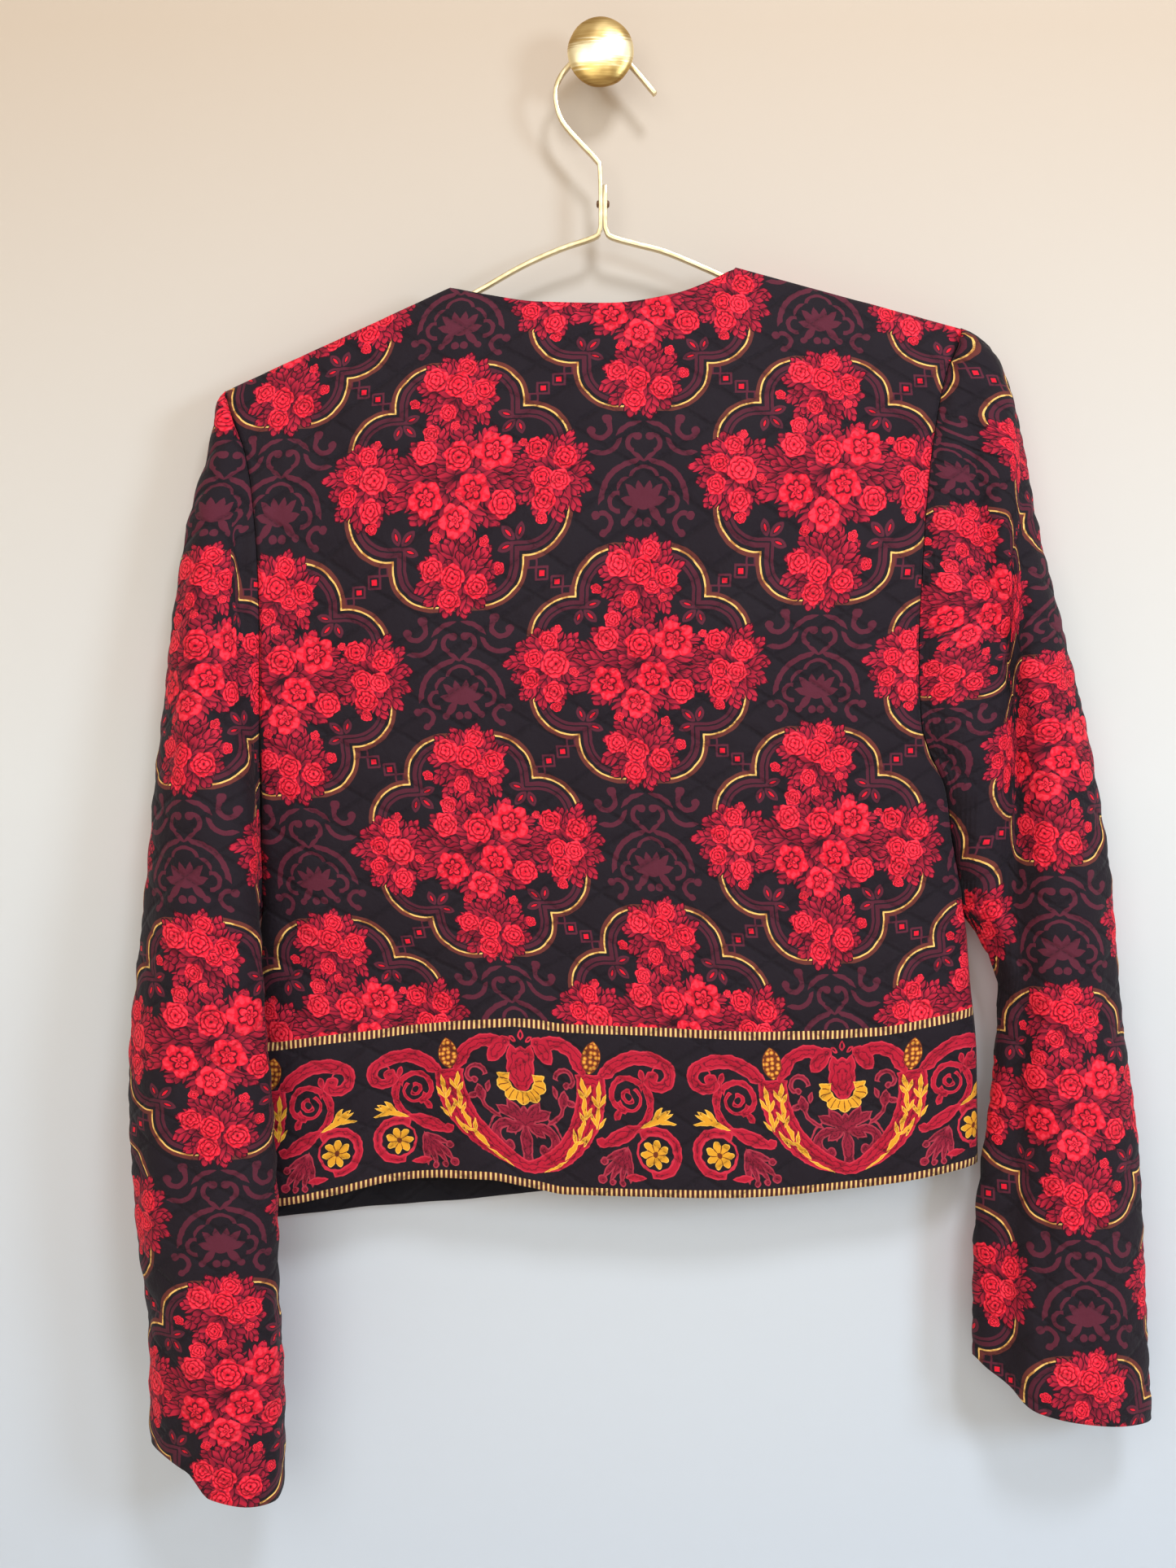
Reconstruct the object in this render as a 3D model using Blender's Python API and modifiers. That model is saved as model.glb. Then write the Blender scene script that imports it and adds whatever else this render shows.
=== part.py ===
# A quilted cotton jacket hung from a flat strip hanger on a small round wall hook.
# Metres, +Z up. The wall is the plane y = 0, the jacket hangs in front of it at y < 0,
# and its back panel faces -Y. The origin is the middle of the hook's flat wall face.
import math
from collections import namedtuple

import bmesh
import bpy
import numpy as np

MM = 0.001

# Cloth
WALL = 2.4 * MM
SEAM_GAP = 0.3 * MM
PUFF = 1.5 * MM
DIAMOND_HEIGHT = 24.0 * MM
ROW_STEP = DIAMOND_HEIGHT / 2
SMALLEST_ROW = 4.0 * MM
TORSO_COLUMNS = 22
SLEEVE_COLUMNS = 22
UNDERARM_COLUMN = 0.02
SHOULDER_CREST = (4.0, 1.0, 0.0)
SEAM_TURN = 14.0
SEAM_EASE = 6.0
CURVE_STEPS = 12
NORMAL_STEP = 0.01
NORMAL_DROP = 3.0
TOP_STEP = 0.25
NECK_SLACK = 0.5
RIDGE_SLACK = 0.3
ROW_SLACK = 0.01
BESIDE_NECK = 2.0
CROWN_LEAN = 0.35
CROWN_RISE = 0.94
BODY_FULLNESS = 8
FOLD_START = 2.5
FOLD_END = 4.0

# Hanger and hook
HANGER_PLANE = -22.0 * MM
STRIP_DEPTH = 4.0 * MM
STRIP_THICKNESS = 2.0 * MM
RIVET_HEIGHT = -82.0 * MM
RIVET_HOLE = 1.3 * MM
RIVET_SHANK = 1.0 * MM
RIVET_HEAD = 2.1 * MM
RIVET_HEAD_THICKNESS = 1.2 * MM
STEM_RADIUS = 4.0 * MM
FLANGE_RADIUS = 5.5 * MM
FLANGE_THICKNESS = 2.0 * MM
DISC_RADIUS = 18.2 * MM
DISC_BACK = -29.0 * MM
DISC_RIM = 1.6 * MM
DISC_DOME = 5.5 * MM
DISC_EASE = 0.97
DOME_STEPS = 7
HEAD_CROWN = (0.7, 0.9)
HEAD_EDGE = 0.35

# Outline of the torso, millimetres: armhole seams above the underarm, side seams below it
Edge = namedtuple("Edge", "height left right back_depth front_depth")
TORSO_EDGES = [
    Edge(-120, -213.5, 205.0, 5.0, 5.0),
    Edge(-156, -213.5, 205.0, 5.0, 5.0),
    Edge(-181, -213.5, 195.5, 12.0, 7.0),
    Edge(-194, -213.0, 192.0, 14.0, 8.0),
    Edge(-209, -207.5, 189.0, 15.0, 8.0),
    Edge(-227, -200.5, 186.0, 16.0, 8.5),
    Edge(-255, -195.5, 183.0, 17.0, 9.0),
    Edge(-292, -192.5, 180.5, 17.0, 9.0),
    Edge(-338, -191.5, 178.5, 17.0, 9.0),
    Edge(-381, -191.5, 180.0, 17.0, 8.5),
    Edge(-399, -191.5, 186.0, 15.0, 8.0),
    Edge(-416, -191.5, 194.0, 13.0, 7.0),
    Edge(-445, -192.0, 199.0, 8.0, 5.0),
    Edge(-480, -192.0, 205.5, 0.15, 0.15),
    Edge(-524, -194.0, 209.0, 0.15, 0.15),
    Edge(-569, -196.5, 211.0, 0.15, 0.15),
    Edge(-690, -198.0, 211.0, 0.15, 0.15),
]
Point = namedtuple("Point", "across height")
LEFT_TIP = Point(-213.5, -191.5)
LEFT_NECK = Point(-86.0, -132.2)
RIGHT_NECK = Point(77.5, -120.6)
RIGHT_TIP = Point(205.0, -155.5)
RIDGE = (LEFT_TIP, LEFT_NECK, RIGHT_NECK, RIGHT_TIP)
UNDERARM = -480.0
HEM_LEVEL = -630.0

# Depth of the cloth in front of (back panel) and behind (fronts) the hanger plane,
# by the drop below the shoulder ridge
Depth = namedtuple("Depth", "drop back front")
TORSO_DEPTHS = [
    Depth(0.0, 0.2, 0.2),
    Depth(1.0, 3.4, 3.4),
    Depth(4.0, 5.0, 5.0),
    Depth(12.0, 7.5, 6.6),
    Depth(30.0, 11.0, 8.0),
    Depth(70.0, 16.0, 9.6),
    Depth(120.0, 19.5, 11.0),
    Depth(220.0, 22.0, 11.6),
    Depth(380.0, 21.0, 11.6),
    Depth(560.0, 18.5, 11.4),
]

# Soft upright folds of the torso: place and width across, depth, and the height where each fades
Fold = namedtuple("Fold", "place width depth top bottom")
BACK_FOLDS = [
    Fold(-112.0, 26.0, -3.5, -430.0, -700.0),
    Fold(-66.0, 24.0, 3.0, -440.0, -700.0),
    Fold(60.0, 34.0, 2.2, -380.0, -700.0),
    Fold(140.0, 26.0, -2.6, -330.0, -700.0),
    Fold(150.0, 22.0, 2.4, -200.0, -420.0),
    Fold(-160.0, 20.0, -2.6, -210.0, -440.0),
]
FRONT_FOLDS = [
    Fold(-110.0, 30.0, -2.0, -380.0, -700.0),
    Fold(90.0, 34.0, -2.2, -360.0, -700.0),
    Fold(-50.0, 26.0, 1.2, -420.0, -700.0),
    Fold(150.0, 26.0, 1.2, -400.0, -700.0),
]

BACK_HEM = [
    Point(-215, -656.0),
    Point(-181, -652.0),
    Point(-150, -645.0),
    Point(-115, -637.0),
    Point(-85, -634.5),
    Point(-63, -635.0),
    Point(-41, -639.5),
    Point(-19, -644.0),
    Point(74, -645.5),
    Point(142, -641.0),
    Point(216, -629.0),
]
FRONT_HEM = [
    Point(-215, -664.5),
    Point(-188, -664.0),
    Point(-119, -657.5),
    Point(-65, -654.0),
    Point(-30, -650.0),
    Point(10, -647.5),
    Point(142, -642.0),
    Point(216, -630.5),
]
BACK_NECK = [
    Point(-86.0, -132.2),
    Point(-63.0, -137.0),
    Point(-36.0, -141.0),
    Point(5.0, -142.0),
    Point(42.0, -136.5),
    Point(61.0, -129.5),
    Point(77.5, -120.6),
]
FRONT_NECK = [
    Point(-86.0, -132.2),
    Point(-76.0, -160.0),
    Point(-58.0, -184.0),
    Point(-32.0, -202.0),
    Point(0.0, -209.0),
    Point(28.0, -202.0),
    Point(54.0, -180.0),
    Point(70.0, -150.0),
    Point(77.5, -120.6),
]

# Sleeve sections, millimetres. Each row runs round the sleeve from the seam or inner fold, over
# a lobe, a crease and a roll to the outer edge on the near side, and back by two far points.
Ring = namedtuple(
    "Ring",
    "height in_x in_y lobe_x lobe_y crease_x crease_y roll_x roll_y face_x face_y out_x out_y "
    "far_x far_y back_x back_y",
)
RIGHT_RINGS = [
    Ring(-155.5, 205.3, -22, 205.5, -22.5, 205.7, -22.8, 205.9, -23,
         206.1, -22.8, 206.3, -22, 206, -21, 205.6, -21),
    Ring(-163, 202, -22, 205, -33, 208, -35, 211, -34,
         214, -30, 216.5, -24, 212, -16, 206, -14),
    Ring(-182, 196, -22, 203, -38, 210, -40, 217, -39,
         223.5, -35, 227.8, -25, 219, -14, 206, -13),
    Ring(-214, 188, -22, 197, -41, 208, -40, 218, -42,
         229, -40, 236.5, -26, 224, -13, 204, -12),
    Ring(-259, 183, -22, 194, -43, 211, -38, 223, -43,
         235, -42, 244.5, -27, 229, -12, 204, -12),
    Ring(-323, 179, -22, 196, -44, 220, -37, 235, -46,
         248, -45, 258.5, -28, 237, -12, 206, -12),
    Ring(-388, 182, -22, 204, -46, 233, -36, 246, -49,
         261, -48, 273.5, -29, 247, -13, 212, -12),
    Ring(-436, 199, -22, 213, -43, 234, -37, 249, -51,
         267, -50, 281.5, -30, 253, -13, 224, -13),
    Ring(-480, 206.2, -22, 218, -38, 235, -38, 250, -52,
         271, -51, 287, -31, 259, -14, 231, -15),
    Ring(-490, 212.1, -23, 223, -38, 236, -39, 250, -52,
         272, -51, 287.8, -31, 260, -14, 234, -16),
    Ring(-504, 220.5, -25, 227.5, -37, 237, -40, 250.5, -53,
         273, -52, 289, -32, 262, -15, 238, -18),
    Ring(-531, 229, -28, 233, -37, 240, -42, 251, -53,
         274, -52, 291, -32, 265, -16, 244, -20),
    Ring(-588, 224.7, -29, 229, -36, 237, -41, 248, -54,
         277, -53, 297, -33, 268, -16, 242, -19),
    Ring(-626, 219.5, -30, 226, -36, 236, -41, 247, -55,
         279, -54, 301, -34, 268, -16, 238, -19),
    Ring(-678, 215, -30, 222, -36, 233, -42, 246, -56,
         281, -55, 302.5, -35, 266, -16, 234, -19),
    Ring(-738, 213.6, -30, 220, -37, 231, -43, 245, -57,
         283, -56, 306, -35, 264, -16, 232, -19),
    Ring(-785, 213.6, -30, 220, -37, 231, -44, 244, -57,
         284, -56, 308, -35, 264, -16, 232, -19),
]
LEFT_RINGS = [
    Ring(-191.5, -213.8, -22, -214, -22.5, -214.2, -22.8, -214.4, -23,
         -214.6, -22.8, -214.8, -22, -214.5, -21.2, -214.1, -21.3),
    Ring(-200, -212, -22, -212, -33, -213, -35, -214, -34,
         -215.5, -30, -216.5, -23.5, -215.5, -17, -213, -15),
    Ring(-224, -202, -22, -205.5, -38, -209, -39.5, -213, -39,
         -217, -35, -220.3, -26, -216, -15, -209, -13.5),
    Ring(-256, -195.5, -22, -200.5, -41, -206.5, -41.5, -213, -43,
         -221, -41, -229, -28, -220, -14, -206, -13),
    Ring(-300, -192.3, -22, -198.5, -42, -204.5, -43, -212, -47,
         -224, -47, -236.8, -30, -224, -13, -206, -12),
    Ring(-350, -191.5, -22, -197.5, -43, -202, -46, -210, -52,
         -227, -54, -243.2, -32, -228, -13, -207, -12),
    Ring(-407, -191.5, -22, -196, -44, -196.5, -52, -202, -61,
         -228, -64, -248.3, -36, -232, -15, -208, -12.5),
    Ring(-450, -192.2, -22, -196, -41, -193.5, -54, -200, -65,
         -229, -68, -251, -40, -234, -17, -210, -15),
    Ring(-480, -192.6, -22, -197, -38, -192.5, -56, -200, -69,
         -230, -72, -253, -43, -236, -20, -213, -19),
    Ring(-490, -196.5, -27, -197, -43, -191.5, -58, -199.5, -70,
         -230.5, -73, -253.5, -44, -238, -22, -216, -23),
    Ring(-504, -202, -34, -197, -47, -190, -61, -199, -72,
         -231, -74, -254.5, -46, -238, -25, -218, -29),
    Ring(-524, -198, -46, -192.5, -54, -188.5, -64, -199, -75,
         -233, -75, -256, -48, -240, -28, -218, -36),
    Ring(-558, -189.5, -52, -186.5, -59, -187, -68, -200, -78,
         -236, -77, -258.4, -50, -241, -30, -214, -42),
    Ring(-600, -185, -54, -182.8, -61, -185, -70, -200, -79,
         -237, -78, -258.4, -51, -240, -30, -210, -44),
    Ring(-650, -182, -54, -181, -61, -184, -70, -200, -80,
         -236, -78, -256, -50, -238, -30, -208, -44),
    Ring(-700, -180.5, -52, -180, -60, -183, -70, -199, -80,
         -233, -77, -250, -50, -234, -30, -204, -42),
    Ring(-742, -179, -50, -178.4, -59, -182, -70, -197, -79,
         -229, -76, -247.8, -49, -230, -29, -202, -39),
    Ring(-812, -178, -48, -177.5, -58, -181, -69, -195, -78,
         -222, -74, -247.8, -48, -228, -28, -200, -37),
]
# Lower edge of each sleeve by its place round it: 0 and 1 at the inner fold, 0.5 at the outer edge
Cuff = namedtuple("Cuff", "place height")
RIGHT_CUFF = [
    Cuff(0.0, -738.0),
    Cuff(0.1, -752.0),
    Cuff(0.17, -761.0),
    Cuff(0.3, -767.0),
    Cuff(0.5, -771.0),
    Cuff(0.75, -764.0),
    Cuff(1.0, -738.0),
]
LEFT_CUFF = [
    Cuff(0.0, -798.0),
    Cuff(0.1, -805.0),
    Cuff(0.26, -799.0),
    Cuff(0.32, -785.0),
    Cuff(0.5, -779.0),
    Cuff(0.75, -782.0),
    Cuff(1.0, -798.0),
]

# Middle line of the hanger's strips, millimetres
HOOK_LINE = [
    Point(31.3, -19.0),
    Point(18.7, -4.1),
    Point(10.8, 2.9),
    Point(0.0, 5.35),
    Point(-11.0, 2.7),
    Point(-19.5, -4.6),
    Point(-24.6, -13.0),
    Point(-25.6, -22.5),
    Point(-22.0, -34.5),
    Point(-12.0, -46.5),
    Point(-2.2, -57.0),
    Point(-0.2, -63.0),
    Point(0.2, -92.0),
    Point(-0.6, -97.5),
    Point(-3.8, -101.3),
    Point(-23.2, -108.0),
    Point(-45.5, -118.0),
    Point(-72.1, -133.1),
    Point(-100.0, -147.0),
    Point(-140.0, -162.5),
    Point(-172.0, -174.3),
    Point(-196.0, -185.5),
]
ARM_LINE = [
    Point(2.7, -71.6),
    Point(2.7, -92.0),
    Point(3.5, -97.5),
    Point(7.0, -101.2),
    Point(22.0, -105.4),
    Point(39.2, -110.2),
    Point(70.9, -123.8),
    Point(80.0, -128.6),
    Point(105.0, -136.2),
    Point(140.0, -142.6),
    Point(166.0, -147.3),
    Point(188.0, -152.9),
]


def clear_scene():
    for old in list(bpy.data.objects):
        bpy.data.objects.remove(old, do_unlink=True)


def make_collection(name):
    collection = bpy.data.collections.new(name)
    bpy.context.scene.collection.children.link(collection)
    return collection


def make_material(name, colour, roughness, metallic=0.0):
    material = bpy.data.materials.new(name)
    material.use_nodes = True
    shader = material.node_tree.nodes["Principled BSDF"]
    shader.inputs["Base Color"].default_value = (*colour, 1.0)
    shader.inputs["Roughness"].default_value = roughness
    shader.inputs["Metallic"].default_value = metallic
    material.diffuse_color = (*colour, 1.0)
    return material


def add_object(name, mesh, collection, material):
    thing = bpy.data.objects.new(name, mesh)
    mesh.materials.append(material)
    collection.objects.link(thing)
    return thing


def along(rows, key, field, value):
    """Value of one named column at a place along a table, in a straight line between rows."""
    way = math.copysign(1.0, getattr(rows[-1], key) - getattr(rows[0], key))
    before = rows[0]
    for after in rows:
        if (getattr(after, key) - value) * way >= 0:
            break
        before = after
    start = getattr(before, key)
    span = getattr(after, key) - start
    share = (value - start) / span if span else 0.0
    first = getattr(before, field)
    return first + (getattr(after, field) - first) * share


def unit(vector):
    return vector / np.linalg.norm(vector)


def ridge_height(across):
    """Height of the line over both shoulders and across the open neck."""
    return along(RIDGE, "across", "height", min(RIGHT_TIP.across, max(LEFT_TIP.across, across)))


def edge_depth(column, across, height):
    """Depth of the cloth at the torso's outline, in front of or behind the hanger's plane."""
    drop = max(0.0, ridge_height(across) - height)
    free = along(TORSO_DEPTHS, "drop", column, drop)
    return min(free, along(TORSO_EDGES, "height", column + "_depth", height))


def fold_depth(folds, across, height):
    total = 0.0
    for fold in folds:
        reach = (across - fold.place) / fold.width
        length = (fold.top - height) / (fold.top - fold.bottom)
        if 0.0 < length < 1.0:
            fade = min(1.0, length * FOLD_START)
            if fold.bottom > UNDERARM:
                fade *= min(1.0, (1 - length) * FOLD_END)
            total += fold.depth * math.exp(-reach * reach) * fade
    return total


class Torso:
    """The cloth of the body: place is 0 at the left edge and 1 at the right one."""

    is_tube = False

    def __init__(self, side, sleeves):
        self.sleeves = sleeves
        self.side = side
        self.column = "back" if side < 0 else "front"
        self.folds = BACK_FOLDS if side < 0 else FRONT_FOLDS
        self.neck = BACK_NECK if side < 0 else FRONT_NECK
        self.hem = BACK_HEM if side < 0 else FRONT_HEM
        self.tops = {}

    def across(self, place, height):
        left = along(TORSO_EDGES, "height", "left", height)
        right = along(TORSO_EDGES, "height", "right", height)
        return left + (right - left) * place

    def point(self, place, height):
        across = self.across(place, height)
        middle = along(TORSO_DEPTHS, "drop", self.column, max(0.0, ridge_height(across) - height))
        edge = edge_depth(self.column, across, height)
        body = math.sqrt(max(0.0, 1 - abs(2 * place - 1) ** BODY_FULLNESS))
        depth = edge + (middle - edge) * body
        depth += fold_depth(self.folds, across, height) * body
        return np.array([across * MM, HANGER_PLANE + self.side * depth * MM, height * MM])

    def bottom(self, place):
        return along(self.hem, "across", "height", self.across(place, HEM_LEVEL))

    def top(self, place):
        """Where the column meets the shoulder ridge or the neckline."""
        if place not in self.tops:
            height = UNDERARM
            limit = 0.0
            while height < limit:
                height += TOP_STEP
                across = self.across(place, height)
                limit = ridge_height(across)
                if LEFT_NECK.across + NECK_SLACK < across < RIGHT_NECK.across - NECK_SLACK:
                    limit = along(self.neck, "across", "height", across)
            self.tops[place] = limit
        return self.tops[place]

    def on_ridge(self, place, height):
        return abs(height - ridge_height(self.across(place, height))) < RIDGE_SLACK

    def edge_normal(self, place, height, is_top):
        """Square to the seam line, or None where the cloth has no seam."""
        if place in (0.0, 1.0):
            across = math.copysign(1.0, place - 0.5)
            tip = LEFT_TIP if across < 0 else RIGHT_TIP
            if height == UNDERARM:
                return np.array([0.0, self.side * CROWN_LEAN, -CROWN_RISE])
            return seam_normal(height, tip.height, across, self.side)
        if is_top and self.on_ridge(place, height):
            return np.array([0.0, 0.0, 1.0])
        return None

    def seam_pull(self, place, height):
        return 0.0


class Sleeve:
    """A sleeve as rings: place runs 0 to 1 from the inner fold, by the near side, round to it."""

    is_tube = True

    def __init__(self, rings, cuff, across):
        self.rings = rings
        self.cuff = cuff
        self.across = across
        self.edge = "left" if across < 0 else "right"
        self.tip = LEFT_TIP.height if across < 0 else RIGHT_TIP.height
        self.sections = {}

    def section(self, height):
        """Both halves of the section as dense lines, near half first."""
        key = round(height, 1)
        if key not in self.sections:
            row = Ring(*[along(self.rings, "height", name, key) for name in Ring._fields])
            in_x = row.in_x
            in_near = in_far = row.in_y
            if key > UNDERARM:
                in_x = along(TORSO_EDGES, "height", self.edge, key) + self.across * SEAM_GAP / MM
                in_near = HANGER_PLANE / MM - edge_depth("back", in_x, key)
                in_far = HANGER_PLANE / MM + edge_depth("front", in_x, key)
            line = [
                (in_x, in_near),
                (row.lobe_x, row.lobe_y),
                (row.crease_x, row.crease_y),
                (row.roll_x, row.roll_y),
                (row.face_x, row.face_y),
                (row.out_x, row.out_y),
                (row.far_x, row.far_y),
                (row.back_x, row.back_y),
                (in_x, in_far),
            ]
            smooth = smooth_line(np.array(line, float), CURVE_STEPS)
            outer = 5 * CURVE_STEPS
            self.sections[key] = (smooth[: outer + 1], smooth[outer:])
        return self.sections[key]

    def seam_place(self, height):
        """How far round the ring the armhole seam stands at this height."""
        share = (self.tip - height) / (self.tip - UNDERARM)
        return 0.5 * (1.0 - math.sqrt(max(0.0, min(1.0, share))))

    def point(self, place, height):
        near, far = self.section(height)
        seam = self.seam_place(height)
        reach = max(1e-6, 0.5 - seam)
        if place <= 0.5:
            spot = at_share(near, (place - seam) / reach)
        else:
            spot = at_share(far, (place - 0.5) / reach)
        return np.array([spot[0] * MM, spot[1] * MM, height * MM])

    def bottom(self, place):
        return along(self.cuff, "place", "height", place)

    def top(self, place):
        share = (1.0 - 2.0 * min(place, 1.0 - place)) ** 2
        return self.tip - share * (self.tip - UNDERARM)

    def edge_normal(self, place, height, is_top):
        """The armhole seam's own direction at the sleeve's head, or None below it."""
        if not is_top:
            return None
        if place == 0.0:
            return np.array([0.0, 0.0, -1.0])
        return self.seam_direction(place, height)

    def seam_direction(self, place, height):
        facing = -1.0 if place < 0.5 else 1.0
        return seam_normal(height, self.tip, self.across, facing)

    def seam_pull(self, place, height):
        """How much the cloth's direction follows the seam's: wholly at the seam, not far from it."""
        if height <= UNDERARM:
            return 0.0
        seam = self.seam_place(height)
        half = self.section(height)[0 if place <= 0.5 else 1]
        length = np.linalg.norm(np.diff(half, axis=0), axis=1).sum()
        away = (min(place, 1.0 - place) - seam) / max(1e-6, 0.5 - seam) * length
        return max(0.0, 1.0 - away / SEAM_EASE)


def seam_normal(height, tip, across, facing):
    """Out of the cloth along the armhole and side seam, the same for both pieces that meet there."""
    crown = np.array([across * CROWN_LEAN, 0.0, CROWN_RISE])
    face = np.array([0.0, facing, 0.0])
    flank = np.array([across, 0.0, 0.0])
    below_tip = min(1.0, max(0.0, (tip - height) / SEAM_TURN))
    below_arm = min(1.0, max(0.0, (UNDERARM - height) / (2 * SEAM_TURN)))
    return unit(crown * (1 - below_tip) + face * below_tip * (1 - below_arm) + flank * below_arm)


def smooth_line(points, steps):
    """A Catmull-Rom line through the points, with the same number of steps between each pair."""
    ends = np.vstack([2 * points[0] - points[1], points, 2 * points[-1] - points[-2]])
    found = []
    for index in range(1, len(ends) - 2):
        a, b, c, d = ends[index - 1 : index + 3]
        for step in range(steps):
            t = step / steps
            bend = (2 * a - 5 * b + 4 * c - d) * t * t + (3 * b - a - 3 * c + d) * t**3
            found.append(0.5 * (2 * b + (c - a) * t + bend))
    found.append(points[-1])
    return np.array(found)


def at_share(line, share):
    """The point at a share of a line's length."""
    steps = np.linalg.norm(np.diff(line, axis=0), axis=1)
    lengths = np.concatenate([[0.0], np.cumsum(steps)])
    want = max(0.0, min(1.0, share)) * lengths[-1]
    return np.array([np.interp(want, lengths, line[:, axis]) for axis in range(2)])


def surface_normal(surface, place, height, flip):
    """Out of the cloth, from two short steps along the surface."""
    low = place - NORMAL_STEP
    high = place + NORMAL_STEP
    if surface.is_tube:
        low %= 1.0
        high %= 1.0
    low = surface.point(max(0.0, low), height)
    high = surface.point(min(1.0, high), height)
    under = surface.point(place, height - NORMAL_DROP)
    over = surface.point(place, min(height + NORMAL_DROP, surface.top(place)))
    return unit(np.cross(high - low, over - under)) * flip


def heights_of(surface, place, crest, every):
    """Row heights of one column: its two ends, the quilting's rows and those of the crest.
    An armhole edge takes the rows at which the sleeve's own columns meet it."""
    bottom = surface.bottom(place)
    top = surface.top(place)
    crown = [top - drop for drop in crest]
    if not surface.is_tube and place in (0.0, 1.0):
        sleeve = surface.sleeves[int(place)]
        crown = [sleeve.top(spot) for spot, _ in sleeve_places() if spot <= 0.5]
    step = ROW_STEP / MM * every
    first = math.ceil((bottom + SMALLEST_ROW / MM) / step)
    last = math.floor((min(crown) - SMALLEST_ROW / MM) / step)
    return [bottom, *[index * step for index in range(first, last + 1)], *crown]


def puff_at(number, height):
    """Height of the quilting at a column and a row: nothing where its stitch lines cross."""
    row = height * MM / ROW_STEP
    if number is None or abs(row - round(row)) > ROW_SLACK:
        return 0.0
    return PUFF * ((number + round(row)) % 2)


def make_column(bm, surface, place, number, heights, flip, raised):
    """One column of vertices, as pairs of a height and a vertex."""
    column = []
    for index, height in enumerate(heights):
        spot = surface.point(place, height)
        if raised:
            is_top = index == len(heights) - 1
            normal = surface.edge_normal(place, height, is_top)
            at_edge = normal is not None or index == 0
            if normal is None:
                normal = surface_normal(surface, place, height, flip)
                pull = surface.seam_pull(place, height)
                if pull > 0.0:
                    normal = unit(normal * (1 - pull) + surface.seam_direction(place, height) * pull)
            spot = spot + normal * (WALL + (0.0 if at_edge else puff_at(number, height)))
        column.append((height, bm.verts.new(spot)))
    return column


def face(bm, *corners):
    """A triangle, left out where two of its corners are one point."""
    if len(set(corners)) == 3:
        bm.faces.new(corners)


def zip_columns(bm, left, right, matched, slant=0):
    """Triangles between two columns of unlike rows. The last rows of both are matched one to one."""
    i = j = 0
    last_left = len(left) - matched
    last_right = len(right) - matched
    while i < last_left or j < last_right:
        step_left = i < last_left
        step_right = j < last_right
        level = step_left and step_right and abs(left[i + 1][0] - right[j + 1][0]) < ROW_SLACK
        if level:
            row = round(left[i][0] * MM / ROW_STEP)
            step_left = (row + slant) % 2 == 1
        elif step_left and step_right:
            step_left = left[i + 1][0] < right[j + 1][0]
        if step_left:
            face(bm, left[i][1], right[j][1], left[i + 1][1])
            i += 1
        else:
            face(bm, left[i][1], right[j][1], right[j + 1][1])
            j += 1
    while i < len(left) - 1:
        face(bm, left[i][1], right[j][1], left[i + 1][1])
        face(bm, right[j][1], right[j + 1][1], left[i + 1][1])
        i += 1
        j += 1


def make_wall(name, surface, places, crest, closed, flip, collection, material):
    """A closed cloth wall: a plain inside, the quilted outside and the rims between them."""
    bm = bmesh.new()
    outside = []
    inside = []
    for place, number in places:
        fine = heights_of(surface, place, crest, 1)
        coarse = heights_of(surface, place, crest, 2)
        outside.append(make_column(bm, surface, place, number, fine, flip, True))
        inside.append(make_column(bm, surface, place, number, coarse, flip, False))
    matched = len(crest)
    count = len(places)
    for index in range(count if closed else count - 1):
        after = (index + 1) % count
        slant = places[index][1] or 0
        zip_columns(bm, outside[index], outside[after], matched, slant)
        zip_columns(bm, inside[after], inside[index], matched, slant)
        for end in (0, -1):
            ring = [outside[index], inside[index], inside[after], outside[after]]
            corners = [column[end][1] for column in ring]
            face(bm, corners[0], corners[1], corners[2])
            face(bm, corners[0], corners[2], corners[3])
    if not closed:
        zip_columns(bm, inside[0], outside[0], 1)
        zip_columns(bm, outside[-1], inside[-1], 1)
    bmesh.ops.recalc_face_normals(bm, faces=bm.faces)
    mesh = bpy.data.meshes.new(name)
    bm.to_mesh(mesh)
    bm.free()
    mesh.shade_smooth()
    return add_object(name, mesh, collection, material)


def sleeve_places():
    """Places of a sleeve's columns with their numbers in the quilting, and one more each side
    of the underarm."""
    places = [(index / SLEEVE_COLUMNS, index) for index in range(SLEEVE_COLUMNS)]
    places += [(UNDERARM_COLUMN, None), (1 - UNDERARM_COLUMN, None)]
    return sorted(places, key=lambda item: item[0])


def torso_places(torso):
    """Places of the torso's columns: even ones, with the nearest two moved to the neck's corners
    and one more beside each of these."""
    places = [index / TORSO_COLUMNS for index in range(TORSO_COLUMNS + 1)]
    left = torso.across(0.0, LEFT_NECK.height)
    right = torso.across(1.0, LEFT_NECK.height)
    beside = []
    for corner, inward in ((LEFT_NECK.across, 1.0), (RIGHT_NECK.across, -1.0)):
        wanted = (corner - left) / (right - left)
        nearest = min(range(len(places)), key=lambda index: abs(places[index] - wanted))
        places[nearest] = wanted
        beside.append((wanted + inward * BESIDE_NECK / (right - left), nearest))
    return sorted([*zip(places, range(len(places))), *beside], key=lambda item: item[0])


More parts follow.
